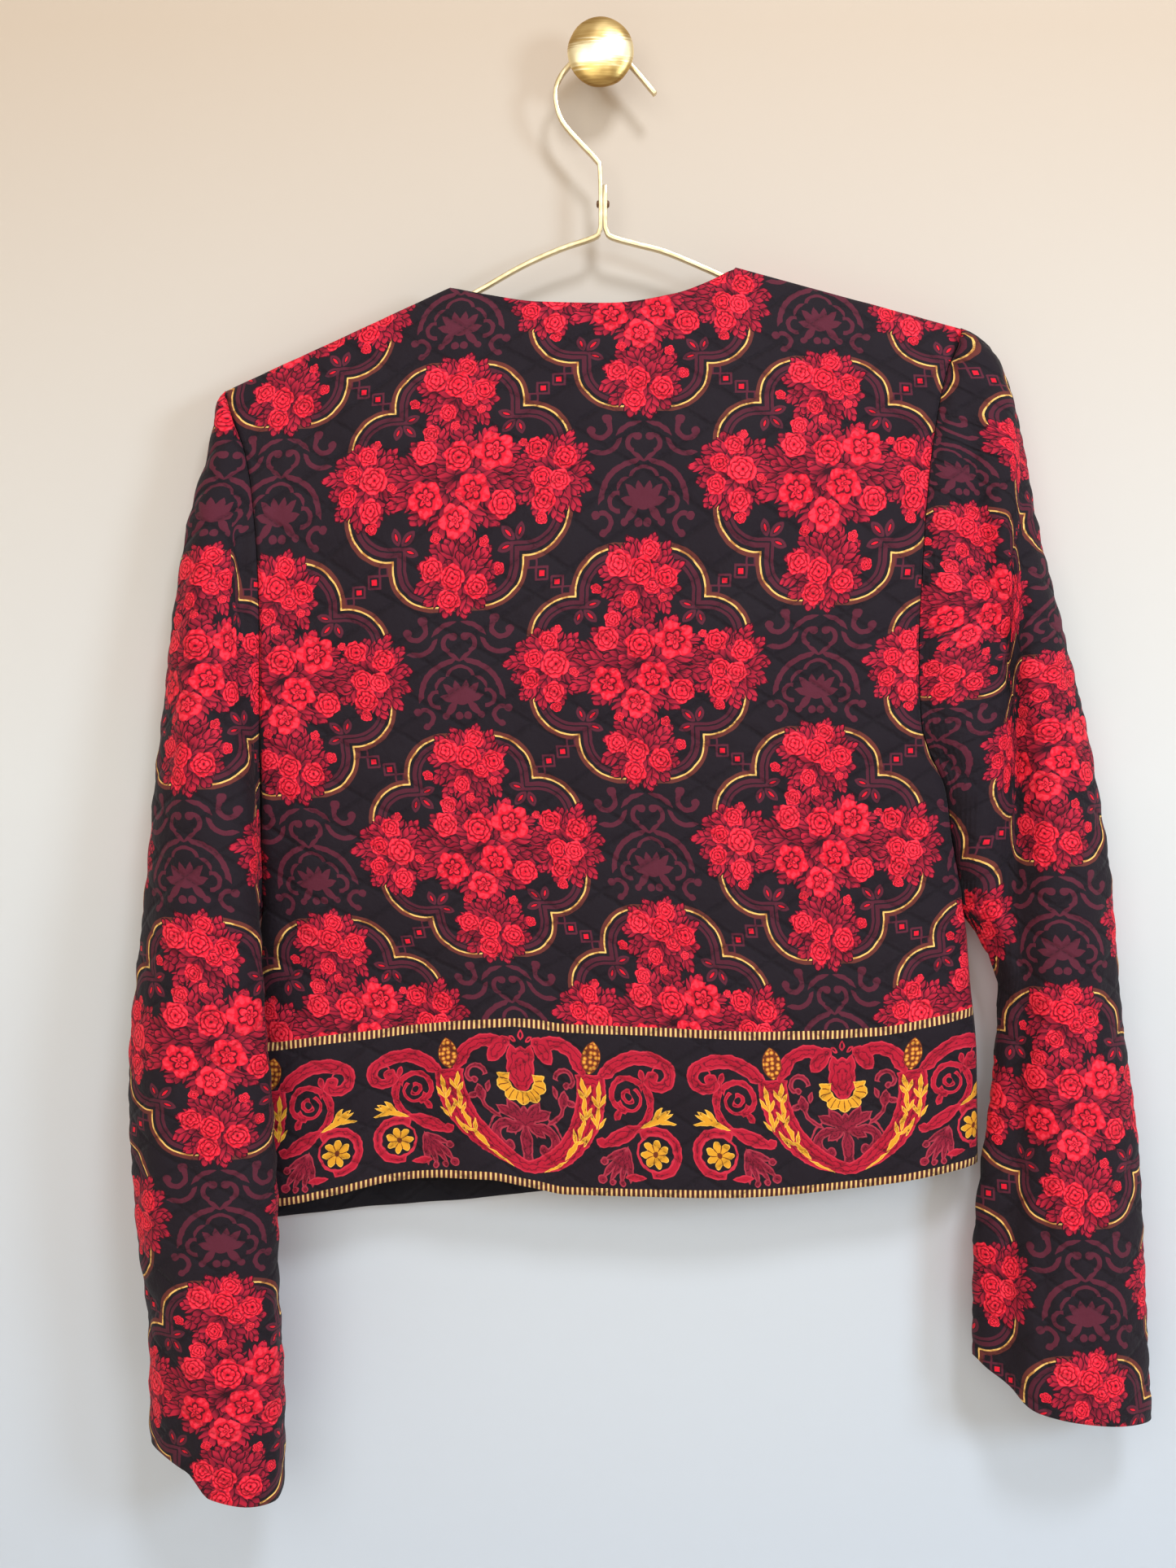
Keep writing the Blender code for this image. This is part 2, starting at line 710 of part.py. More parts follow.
def make_jacket(collection, cloth):
    sleeves = [Sleeve(LEFT_RINGS, LEFT_CUFF, -1), Sleeve(RIGHT_RINGS, RIGHT_CUFF, 1)]
    back = Torso(-1, sleeves)
    front = Torso(1, sleeves)
    places = torso_places(back)
    make_wall("back", back, places, SHOULDER_CREST, False, 1, collection, cloth)
    half_gap = SEAM_GAP / MM / 2 / (RIGHT_TIP.across - LEFT_TIP.across)
    left_half = [item for item in places if item[0] < 0.5 - half_gap] + [(0.5 - half_gap, None)]
    right_half = [(0.5 + half_gap, None)] + [item for item in places if item[0] > 0.5 + half_gap]
    make_wall("front_left", front, left_half, SHOULDER_CREST, False, -1, collection, cloth)
    make_wall("front_right", front, right_half, SHOULDER_CREST, False, -1, collection, cloth)
    for name, sleeve in zip(("sleeve_left", "sleeve_right"), sleeves):
        make_wall(name, sleeve, sleeve_places(), (0.0,), True, sleeve.across, collection, cloth)


def make_strip(name, line, collection, material, cutter):
    """A flat strip bent along a line in the hanger's plane, with a hole for the rivet."""
    bm = bmesh.new()
    spots = smooth_line(np.array([tuple(point) for point in line]), 4)
    near = HANGER_PLANE - STRIP_DEPTH / 2
    verts = [bm.verts.new((x * MM, near, z * MM)) for x, z in spots]
    edges = [bm.edges.new(pair) for pair in zip(verts, verts[1:])]
    made = bmesh.ops.extrude_edge_only(bm, edges=edges)["geom"]
    moved = [item for item in made if isinstance(item, bmesh.types.BMVert)]
    bmesh.ops.translate(bm, verts=moved, vec=(0.0, STRIP_DEPTH, 0.0))
    mesh = bpy.data.meshes.new(name)
    bm.to_mesh(mesh)
    bm.free()
    strip = add_object(name, mesh, collection, material)
    wall = strip.modifiers.new("thickness", "SOLIDIFY")
    wall.thickness = STRIP_THICKNESS
    wall.offset = 0.0
    wall.use_even_offset = True
    hole = strip.modifiers.new("rivet hole", "BOOLEAN")
    hole.operation = "DIFFERENCE"
    hole.object = cutter
    return strip


def make_rivet_cutter(collection):
    bpy.ops.mesh.primitive_cylinder_add(
        vertices=16, radius=RIVET_HOLE, depth=20 * MM, location=(0.0, HANGER_PLANE, RIVET_HEIGHT)
    )
    cutter = bpy.context.active_object
    cutter.name = "rivet_cutter"
    cutter.rotation_euler = (0.0, math.pi / 2, 0.0)
    cutter.hide_render = True
    cutter.display_type = "WIRE"
    for owner in list(cutter.users_collection):
        owner.objects.unlink(cutter)
    collection.objects.link(cutter)
    return cutter


def make_turned(name, profile, steps, collection, material, location, rotation):
    """A turned solid. Its profile gives radius and height, down the outer side from the top."""
    bm = bmesh.new()
    verts = [bm.verts.new((radius, 0.0, height)) for radius, height in profile]
    for pair in zip(verts, verts[1:]):
        bm.edges.new(pair)
    mesh = bpy.data.meshes.new(name)
    bm.to_mesh(mesh)
    bm.free()
    turned = add_object(name, mesh, collection, material)
    turned.location = location
    turned.rotation_euler = rotation
    screw = turned.modifiers.new("turn", "SCREW")
    screw.steps = steps
    screw.render_steps = steps
    screw.use_merge_vertices = True
    screw.merge_threshold = 0.00001
    return turned


def make_rivet(collection, material):
    """Two round heads on a shank that runs through both strips."""
    left = HOOK_LINE[12].across * MM - STRIP_THICKNESS / 2 - SEAM_GAP
    right = ARM_LINE[1].across * MM + STRIP_THICKNESS / 2 + SEAM_GAP
    crown = RIVET_HEAD_THICKNESS
    profile = [
        (0.0, right + crown),
        (RIVET_HEAD * HEAD_CROWN[0], right + crown * HEAD_CROWN[1]),
        (RIVET_HEAD, right + crown * HEAD_EDGE),
        (RIVET_HEAD, right),
        (RIVET_SHANK, right),
        (RIVET_SHANK, left),
        (RIVET_HEAD, left),
        (RIVET_HEAD, left - crown * HEAD_EDGE),
        (RIVET_HEAD * HEAD_CROWN[0], left - crown * HEAD_CROWN[1]),
        (0.0, left - crown),
    ]
    place = (0.0, HANGER_PLANE, RIVET_HEIGHT)
    make_turned("hanger_rivet", profile, 20, collection, material, place, (0.0, math.pi / 2, 0.0))


def make_hook(collection, material):
    """The round wall hook: a flange and post, and a domed disc in front of the hanger."""
    back = -DISC_BACK
    post_end = back - SEAM_GAP
    post = [
        (0.0, post_end),
        (STEM_RADIUS, post_end),
        (STEM_RADIUS, FLANGE_THICKNESS),
        (FLANGE_RADIUS, FLANGE_THICKNESS),
        (FLANGE_RADIUS, 0.0),
        (0.0, 0.0),
    ]
    outward = (math.pi / 2, 0.0, 0.0)
    make_turned("hook_post", post, 32, collection, material, (0.0, 0.0, 0.0), outward)
    dome = [
        (DISC_RADIUS * math.sin(turn), back + DISC_RIM + DISC_DOME * math.cos(turn))
        for turn in np.linspace(0.0, math.pi / 2, DOME_STEPS)
    ]
    disc = [*dome, (DISC_RADIUS, back + DISC_RIM / 2), (DISC_RADIUS * DISC_EASE, back), (0.0, back)]
    make_turned("hook_disc", disc, 40, collection, material, (0.0, 0.0, 0.0), outward)


def build():
    clear_scene()
    parts = make_collection("quilted_jacket_on_wall_hook")
    cutters = make_collection("cutters")
    cloth = make_material("quilted_cotton", (0.022, 0.019, 0.026), 0.78)
    strip = make_material("champagne_metal", (0.82, 0.67, 0.42), 0.32, 1.0)
    brass = make_material("brushed_brass", (0.78, 0.57, 0.24), 0.36, 1.0)
    make_jacket(parts, cloth)
    cutter = make_rivet_cutter(cutters)
    make_strip("hanger_hook_strip", HOOK_LINE, parts, strip, cutter)
    make_strip("hanger_arm_strip", ARM_LINE, parts, strip, cutter)
    make_rivet(parts, strip)
    make_hook(parts, brass)


build()
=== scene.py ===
import math

import bmesh
import bpy
import numpy as np
from mathutils import Matrix, Vector, noise


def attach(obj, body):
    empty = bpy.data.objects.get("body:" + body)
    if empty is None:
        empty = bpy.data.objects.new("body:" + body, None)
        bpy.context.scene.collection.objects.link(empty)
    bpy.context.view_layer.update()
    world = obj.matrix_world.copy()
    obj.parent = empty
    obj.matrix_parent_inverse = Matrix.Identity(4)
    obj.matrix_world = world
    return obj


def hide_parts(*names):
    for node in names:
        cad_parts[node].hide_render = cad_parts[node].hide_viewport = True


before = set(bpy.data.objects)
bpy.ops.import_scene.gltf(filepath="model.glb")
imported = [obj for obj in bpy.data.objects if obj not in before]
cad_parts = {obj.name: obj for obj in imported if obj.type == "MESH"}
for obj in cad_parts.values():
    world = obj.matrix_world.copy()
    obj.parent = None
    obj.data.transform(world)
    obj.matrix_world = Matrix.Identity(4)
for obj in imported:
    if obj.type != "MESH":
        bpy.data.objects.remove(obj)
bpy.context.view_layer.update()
mm = 0.001
print("frame loaded")


# sizes shared by the jacket's pieces, in millimetres

cloth = {
    "wall": 2.4,          # the CAD wall under the quilting
    "shell": 1.9,         # thickness of the shell made here
    "puff": 1.25,         # rise of a diamond's middle
    "diamondWidth": 38.0,
    "diamondHeight": 24.0,
    "roundness": 0.62,    # less than 1 makes a diamond's top broader
    "spacing": 2.7,       # between the mesh's rows and columns
    "hangerPlane": -22.0,
    "seamGap": 0.3,
    "underarm": -480.0,
    "hemLevel": -643.0,   # height of the hem where it is level
    "hemFade": 200.0,     # the hem's waves are gone this far up
    "sag": 0.05,          # the cloth's rows drop towards the left
    "band": 93.2,         # height of the border print over the hem
    "upper": -300.0,      # from here up the rows follow the shoulders
    "upperLength": 160.0,
    "gathered": 1.15,     # and lie closer together towards them
    "frontWaves": 0.55,   # share of the hem's waves in the fronts' border
    "panelSlack": 70.0,   # size of the slow rises and hollows
    "tubeSlack": 60.0,
    "seamEase": 7.0,
    "seamTurn": 14.0,
    "calmSeam": 10.0,     # the quilting is flatter this near to a seam,
    "calmTop": 8.0,       # the shoulder or neckline,
    "calmHem": 5.0,       # the hem
    "calmCuff": 6.0,      # and the cuff
    "creaseFade": 12.0,   # creases fade out this near to a panel's side
    "foldEase": 8.0,      # over which the print goes into a sleeve's fold
    "sleeveGirth": 235.0,
    "sleeveLength": 600.0,
}

# outline of the torso: height, left, right, depth of the back and of the front at the edge
torsoEdges = np.array([
    (-120, -213.5, 205, 5, 5),
    (-156, -213.5, 205, 5, 5),
    (-181, -213.5, 195.5, 12, 7),
    (-194, -213, 192, 14, 8),
    (-209, -207.5, 189, 15, 8),
    (-227, -200.5, 186, 16, 8.5),
    (-255, -195.5, 183, 17, 9),
    (-292, -192.5, 180.5, 17, 9),
    (-338, -191.5, 178.5, 17, 9),
    (-381, -191.5, 180, 17, 8.5),
    (-399, -191.5, 186, 15, 8),
    (-416, -191.5, 194, 13, 7),
    (-445, -192, 199, 8, 5),
    (-480, -192, 205.5, 0.15, 0.15),
    (-524, -194, 209, 0.15, 0.15),
    (-569, -196.5, 213, 0.15, 0.15),
    (-690, -198, 214, 0.15, 0.15),
])
ridge = np.array([(-213.5, -191.5), (-86, -132.2), (77.5, -120.6), (205, -155.5)])
# depth of the cloth in front of and behind the hanger's plane, by the drop under the ridge
torsoDepths = np.array([
    (0, 0.2, 0.2), (1, 3.4, 3.4), (4, 5, 5), (12, 7.5, 6.6), (30, 11, 8), (70, 16, 9.6), (120, 19.5, 11),
    (220, 22, 11.6), (380, 21, 11.6), (560, 18.5, 11.4),
])
# soft upright folds: place and width across, depth, and the heights where each starts and ends
backFolds = [
    (-112, 26, -3.5, -430, -700), (-66, 24, 3, -440, -700), (60, 34, 2.2, -380, -700),
    (140, 26, -2.6, -330, -700), (150, 22, 2.4, -200, -420), (-160, 20, -2.6, -210, -440),
]
frontFolds = [
    (-110, 30, -2, -380, -700), (90, 34, -2.2, -360, -700), (-50, 26, 1.2, -420, -700),
    (150, 26, 1.2, -400, -700),
]
backHem = np.array([
    (-215, -656), (-181, -652), (-150, -645), (-115, -637), (-85, -634.5), (-63, -635), (-41, -639.5),
    (-19, -644), (74, -645.5), (142, -641), (216, -629),
])
# rise of the border's upper trim above its level
bandLine = np.array([
    (-215, -13), (-185, -10), (-159, -5.9), (-131, -2.7), (-104, 0.9), (-77, 3.7), (-50, 5), (-36, 3.9),
    (-22, 1.8), (5, 0.5), (33, -0.4), (60, -1.6), (87, -2.7), (130, -2.4), (155, -1), (185, 4),
    (216, 10),
])
frontHem = np.array([
    (-215, -664.5), (-188, -664), (-119, -657.5), (-65, -654), (-30, -650), (10, -647.5), (142, -642),
    (216, -630.5),
])
backNeck = np.array([
    (-86, -132.2), (-63, -137), (-36, -141), (5, -142), (42, -136.5), (61, -129.5), (77.5, -120.6),
])
frontNeck = np.array([
    (-86, -132.2), (-76, -160), (-58, -184), (-32, -202), (0, -209), (28, -202), (54, -180), (70, -150),
    (77.5, -120.6),
])

# sleeve sections: height, then x and y of the seam or inner fold, lobe, crease, roll, face,
# outer edge and two far points
rightRings = np.array([
    (-155.5, 205.3, -22, 205.5, -22.5, 205.7, -22.8, 205.9, -23, 206.1, -22.8, 206.3, -22, 206, -21,
     205.6, -21),
    (-163, 202, -22, 205, -33, 208, -35, 211, -34, 214, -30, 216.5, -24, 212, -16, 206, -14),
    (-182, 196, -22, 203, -38, 210, -40, 217, -39, 223.5, -35, 227.8, -25, 219, -14, 206, -13),
    (-214, 188, -22, 197, -41, 208, -40, 218, -42, 229, -40, 236.5, -26, 224, -13, 204, -12),
    (-259, 183, -22, 194, -43, 211, -38, 223, -43, 235, -42, 244.5, -27, 229, -12, 204, -12),
    (-323, 179, -22, 196, -44, 220, -37, 235, -46, 248, -45, 258.5, -28, 237, -12, 206, -12),
    (-388, 182, -22, 204, -46, 233, -36, 246, -49, 261, -48, 273.5, -29, 247, -13, 212, -12),
    (-436, 199, -22, 213, -43, 234, -37, 249, -51, 267, -50, 281.5, -30, 253, -13, 224, -13),
    (-480, 206.2, -22, 218, -38, 235, -38, 250, -52, 271, -51, 287, -31, 259, -14, 231, -15),
    (-490, 212.1, -23, 223, -38, 236, -39, 250, -52, 272, -51, 287.8, -31, 260, -14, 234, -16),
    (-504, 220.5, -25, 227.5, -37, 237, -40, 250.5, -53, 273, -52, 289, -32, 262, -15, 238, -18),
    (-531, 229, -28, 233, -37, 240, -42, 251, -53, 274, -52, 291, -32, 265, -16, 244, -20),
    (-588, 224.7, -29, 229, -36, 237, -41, 248, -54, 277, -53, 297, -33, 268, -16, 242, -19),
    (-626, 219.5, -30, 226, -36, 236, -41, 247, -55, 279, -54, 301, -34, 268, -16, 238, -19),
    (-678, 215, -30, 222, -36, 233, -42, 246, -56, 281, -55, 302.5, -35, 266, -16, 234, -19),
    (-738, 213.6, -30, 220, -37, 231, -43, 245, -57, 283, -56, 306, -35, 264, -16, 232, -19),
    (-785, 213.6, -30, 220, -37, 231, -44, 244, -57, 284, -56, 308, -35, 264, -16, 232, -19),
])
leftRings = np.array([
    (-191.5, -213.8, -22, -214, -22.5, -214.2, -22.8, -214.4, -23, -214.6, -22.8, -214.8, -22, -214.5, -21.2,
     -214.1, -21.3),
    (-200, -212, -22, -212, -33, -213, -35, -214, -34, -215.5, -30, -216.5, -23.5, -215.5, -17, -213, -15),
    (-224, -202, -22, -205.5, -38, -209, -39.5, -213, -39, -217, -35, -220.3, -26, -216, -15, -209, -13.5),
    (-256, -195.5, -22, -200.5, -41, -206.5, -41.5, -213, -43, -221, -41, -229, -28, -220, -14, -206, -13),
    (-300, -192.3, -22, -198.5, -42, -204.5, -43, -212, -47, -224, -47, -236.8, -30, -224, -13, -206, -12),
    (-350, -191.5, -22, -197.5, -43, -202, -46, -210, -52, -227, -54, -243.2, -32, -228, -13, -207, -12),
    (-407, -191.5, -22, -196, -44, -196.5, -52, -202, -61, -228, -64, -248.3, -36, -232, -15, -208, -12.5),
    (-450, -192.2, -22, -196, -41, -193.5, -54, -200, -65, -229, -68, -251, -40, -234, -17, -210, -15),
    (-480, -192.6, -22, -197, -38, -192.5, -56, -200, -69, -230, -72, -253, -43, -236, -20, -213, -19),
    (-490, -196.5, -27, -197, -43, -191.5, -58, -199.5, -70, -230.5, -73, -253.5, -44, -238, -22, -216, -23),
    (-504, -202, -34, -197, -47, -190, -61, -199, -72, -231, -74, -254.5, -46, -238, -25, -218, -29),
    (-524, -198, -46, -192.5, -54, -188.5, -64, -199, -75, -233, -75, -256, -48, -240, -28, -218, -36),
    (-558, -189.5, -52, -186.5, -59, -187, -68, -200, -78, -236, -77, -258.4, -50, -241, -30, -214, -42),
    (-600, -185, -54, -182.8, -61, -185, -70, -200, -79, -237, -78, -258.4, -51, -240, -30, -210, -44),
    (-650, -182, -54, -181, -61, -184, -70, -200, -80, -236, -78, -256, -50, -238, -30, -208, -44),
    (-700, -180.5, -52, -180, -60, -183, -70, -199, -80, -233, -77, -250, -50, -234, -30, -204, -42),
    (-742, -179, -50, -178.4, -59, -182, -70, -197, -79, -229, -76, -247.8, -49, -230, -29, -202, -39),
    (-812, -178, -48, -177.5, -58, -181, -69, -195, -78, -222, -74, -247.8, -48, -228, -28, -200, -37),
])
# lower edge of each sleeve, by the place round it
rightCuff = np.array([
    (0, -738), (0.1, -752), (0.17, -761), (0.3, -767), (0.5, -771), (0.75, -764), (1, -738),
])
leftCuff = np.array([
    (0, -798), (0.1, -805), (0.26, -799), (0.32, -785), (0.5, -779), (0.75, -782), (1, -798),
])


# curves through the tables

def straight(table, column, at):
    rows = table[np.argsort(table[:, 0])]
    return np.interp(at, rows[:, 0], rows[:, column])


def smooth(table, column, at):
    # a smooth line through every row that never swings past one
    rows = table[np.argsort(table[:, 0])]
    keys = rows[:, 0]
    values = rows[:, column]
    steps = np.diff(keys)
    slopes = np.diff(values) / steps
    tangents = np.zeros_like(values)
    tangents[0] = slopes[0]
    tangents[-1] = slopes[-1]
    same = slopes[:-1] * slopes[1:] > 0
    early = 2 * steps[1:] + steps[:-1]
    late = steps[1:] + 2 * steps[:-1]
    safe = np.where(same, slopes[:-1], 1.0)
    safeNext = np.where(same, slopes[1:], 1.0)
    tangents[1:-1] = np.where(same, (early + late) / (early / safe + late / safeNext), 0.0)
    at = np.clip(at, keys[0], keys[-1])
    spot = np.clip(np.searchsorted(keys, at, side="right") - 1, 0, len(steps) - 1)
    step = steps[spot]
    t = (at - keys[spot]) / step
    return ((1 + 2 * t) * (1 - t) ** 2 * values[spot] + t * (1 - t) ** 2 * step * tangents[spot]
            + t * t * (3 - 2 * t) * values[spot + 1] - t * t * (1 - t) * step * tangents[spot + 1])


def ridgeHeight(across):
    return straight(ridge, 1, across)


def depthAt(column, drop):
    rooted = np.column_stack([np.sqrt(torsoDepths[:, 0]), torsoDepths[:, 1:]])
    return smooth(rooted, column, np.sqrt(np.maximum(drop, 0.0)))


def edgeDepth(column, across, height):
    free = depthAt(column, ridgeHeight(across) - height)
    return np.minimum(free, smooth(torsoEdges, column + 2, height))


def eased(share):
    return share * share * (3 - 2 * share)


def unit(vectors):
    return vectors / np.maximum(np.linalg.norm(vectors, axis=-1, keepdims=True), 1e-9)


def seamNormal(height, tip, across, facing):
    crown = np.array([across * 0.35, 0.0, 0.94])
    face = np.array([0.0, facing, 0.0])
    flank = np.array([across, 0.0, 0.0])
    belowTip = np.clip((tip - height) / cloth["seamTurn"], 0, 1)[..., None]
    belowArm = np.clip((cloth["underarm"] - height) / (2 * cloth["seamTurn"]), 0, 1)[..., None]
    return unit(crown * (1 - belowTip) + face * belowTip * (1 - belowArm) + flank * belowArm)


def torsoAcross(place, height):
    left = smooth(torsoEdges, 1, height)
    right = smooth(torsoEdges, 2, height)
    return left + (right - left) * place


def torsoPoint(side, place, height):
    column = 1 if side < 0 else 2
    across = torsoAcross(place, height)
    middle = depthAt(column, ridgeHeight(across) - height)
    edge = edgeDepth(column, across, height)
    body = np.sqrt(np.maximum(0.0, 1 - np.abs(2 * place - 1) ** 8))
    depth = edge + (middle - edge) * body
    for spot, width, rise, top, bottom in backFolds if side < 0 else frontFolds:
        length = (top - height) / (top - bottom)
        fade = np.clip(length * 2.5, 0, 1)
        if bottom > cloth["underarm"]:
            fade = fade * np.clip((1 - length) * 4, 0, 1)
        depth = depth + rise * np.exp(-((across - spot) / width) ** 2) * eased(fade) * body
    return np.stack([across, cloth["hangerPlane"] + side * depth, height], -1)


def torsoTop(side, place):
    # where each column meets the shoulder's ridge or the neckline
    neck = backNeck if side < 0 else frontNeck
    height = np.full_like(place, -160.0)
    for _ in range(40):
        across = torsoAcross(place, height)
        limit = ridgeHeight(across)
        inside = (across > neck[0, 0] + 0.4) & (across < neck[-1, 0] - 0.4)
        limit = np.where(inside, smooth(neck, 1, across), limit)
        height = 0.5 * height + 0.5 * limit
    return height


def splineRows(rows, steps):
    # a Catmull-Rom line through the points of every row at once
    before = 2 * rows[:, :1] - rows[:, 1:2]
    after = 2 * rows[:, -1:] - rows[:, -2:-1]
    ends = np.concatenate([before, rows, after], 1)
    t = (np.arange(steps) / steps)[None, None, :, None]
    a, b, c, d = (ends[:, shift:ends.shape[1] - 3 + shift, None] for shift in range(4))
    bend = (2 * a - 5 * b + 4 * c - d) * t * t + (3 * b - a - 3 * c + d) * t ** 3
    line = 0.5 * (2 * b + (c - a) * t + bend)
    return np.concatenate([line.reshape(len(rows), -1, 2), rows[:, -1:]], 1)


def sleeveSections(rings, side, heights):
    # near and far half of the section at each height
    rows = np.stack([smooth(rings, column, heights) for column in range(1, 17)], -1).reshape(-1, 8, 2)
    above = heights > cloth["underarm"]
    edge = smooth(torsoEdges, 1 if side < 0 else 2, heights) + side * cloth["seamGap"]
    inX = np.where(above, edge, rows[:, 0, 0])
    nearY = np.where(above, cloth["hangerPlane"] - edgeDepth(1, inX, heights), rows[:, 0, 1])
    farY = np.where(above, cloth["hangerPlane"] + edgeDepth(2, inX, heights), rows[:, 0, 1])
    rows[:, 0] = np.stack([inX, nearY], -1)
    closed = np.concatenate([rows, np.stack([inX, farY], -1)[:, None]], 1)
    line = splineRows(closed, 10)
    return line[:, :51], line[:, 50:]


def alongRows(lines, share):
    steps = np.linalg.norm(np.diff(lines, axis=1), axis=2)
    lengths = np.concatenate([np.zeros((len(lines), 1)), np.cumsum(steps, 1)], 1)
    want = np.clip(share, 0, 1) * lengths[:, -1]
    spot = np.clip((lengths <= want[:, None]).sum(1) - 1, 0, steps.shape[1] - 1)
    row = np.arange(len(lines))
    part = (want - lengths[row, spot]) / np.maximum(steps[row, spot], 1e-9)
    found = lines[row, spot] + (lines[row, spot + 1] - lines[row, spot]) * part[:, None]
    return found, want, lengths[:, -1]


def sleevePoint(rings, side, place, height):
    # points of the sleeve, with the length round from the outer edge and from the seam
    tip = ridge[0, 1] if side < 0 else ridge[-1, 1]
    shape = place.shape
    place = place.ravel()
    height = height.ravel()
    near, far = sleeveSections(rings, side, height)
    share = np.clip((tip - height) / (tip - cloth["underarm"]), 0, 1)
    seam = 0.5 * (1 - np.sqrt(share))
    reach = np.maximum(1e-6, 0.5 - seam)
    nearSpot, nearWant, nearLength = alongRows(near, (place - seam) / reach)
    farSpot, farWant, farLength = alongRows(far, (place - 0.5) / reach)
    isNear = (place <= 0.5)[:, None]
    spot = np.where(isNear, nearSpot, farSpot)
    fromOuter = np.where(isNear[:, 0], nearWant - nearLength, farWant)
    fromSeam = np.where(isNear[:, 0], nearWant, farLength - farWant)
    points = np.concatenate([spot, height[:, None]], 1)
    return points.reshape(*shape, 3), fromOuter.reshape(shape), fromSeam.reshape(shape)


# quilting and creases, on the cloth's own coordinates

def quiltRise(u, v, amount):
    a = u / cloth["diamondWidth"] + v / cloth["diamondHeight"]
    b = u / cloth["diamondWidth"] - v / cloth["diamondHeight"]
    rise = np.abs(np.sin(np.pi * a) * np.sin(np.pi * b)) ** cloth["roundness"]
    # each diamond is filled a little differently
    uneven = 0.86 + 0.22 * np.sin(12.9 * np.floor(a) + 78.2 * np.floor(b)) * np.sin(4.1 * np.floor(a - b))
    return amount * rise * uneven


def creaseRise(points, near, creases):
    # creases: side, x and height of the middle, half length, half width, degrees from upright, depth
    total = np.zeros(points.shape[:-1])
    for side, x, height, half, width, turn, depth in creases:
        c = math.cos(math.radians(turn))
        s = math.sin(math.radians(turn))
        along = -(points[..., 0] - x) * s + (points[..., 2] - height) * c
        aside = (points[..., 0] - x) * c + (points[..., 2] - height) * s
        faces = np.clip(-near * side * 2.5, 0, 1)
        total += depth * np.exp(-(aside / width) ** 2) * np.exp(-(along / half) ** 4) * faces
    return total


def looseness(points, size, amount):
    flat = points.reshape(-1, 3)
    found = [noise.noise(Vector(spot / size)) for spot in flat]
    return amount * np.array(found).reshape(points.shape[:-1])


def gridNormals(points):
    across = np.gradient(points, axis=1)
    up = np.gradient(points, axis=0)
    return unit(np.cross(across, up))


def addObject(name, bm, materials):
    mesh = bpy.data.meshes.new(name)
    bm.to_mesh(mesh)
    bm.free()
    for material in materials:
        mesh.materials.append(material)
    thing = bpy.data.objects.new(name, mesh)
    bpy.context.scene.collection.objects.link(thing)
    return thing


def standFor(piece, node):
    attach(piece, "root")
    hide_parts(node)


def clothGrid(name, points, u, v, isTube):
    # a grid moved onto the points: rows run up the cloth, columns across or round it
    rows, columns = u.shape
    bm = bmesh.new()
    bmesh.ops.create_grid(bm, x_segments=columns - 1, y_segments=rows - 1, size=1.0)
    bm.verts.ensure_lookup_table()
    flat = points.reshape(-1, 3) * mm
    order = sorted(bm.verts, key=lambda vert: (round(vert.co.y, 6), round(vert.co.x, 6)))
    layer = bm.loops.layers.uv.new("cloth")
    us = (u.ravel() * mm).tolist()
    vs = (v.ravel() * mm).tolist()
    places = {}
    for index, vert in enumerate(order):
        places[vert.index] = index
        vert.co = flat[index]
    for face in bm.faces:
        for loop in face.loops:
            index = places[loop.vert.index]
            loop[layer].uv = (us[index], vs[index])
        middle = sum(loop[layer].uv.y for loop in face.loops) / len(face.loops)
        face.material_index = 2 if middle < cloth["band"] * mm and not isTube else 0
        face.smooth = True
    if isTube:
        bmesh.ops.remove_doubles(bm, verts=bm.verts, dist=1e-6)
    piece = addObject(name, bm, clothMaterials)
    wall = piece.modifiers.new("cloth wall", "SOLIDIFY")
    wall.thickness = cloth["shell"] * mm
    wall.offset = -1.0
    wall.use_even_offset = False
    wall.use_quality_normals = True
    wall.material_offset = 1
    wall.material_offset_rim = 0
    return piece


# shader maths

def maths(operation, isReflected=False):
    def method(self, *others):
        values = (*others, self) if isReflected else (self, *others)
        return self.node("Math", {"operation": operation}, dict(enumerate(values)))
    return method


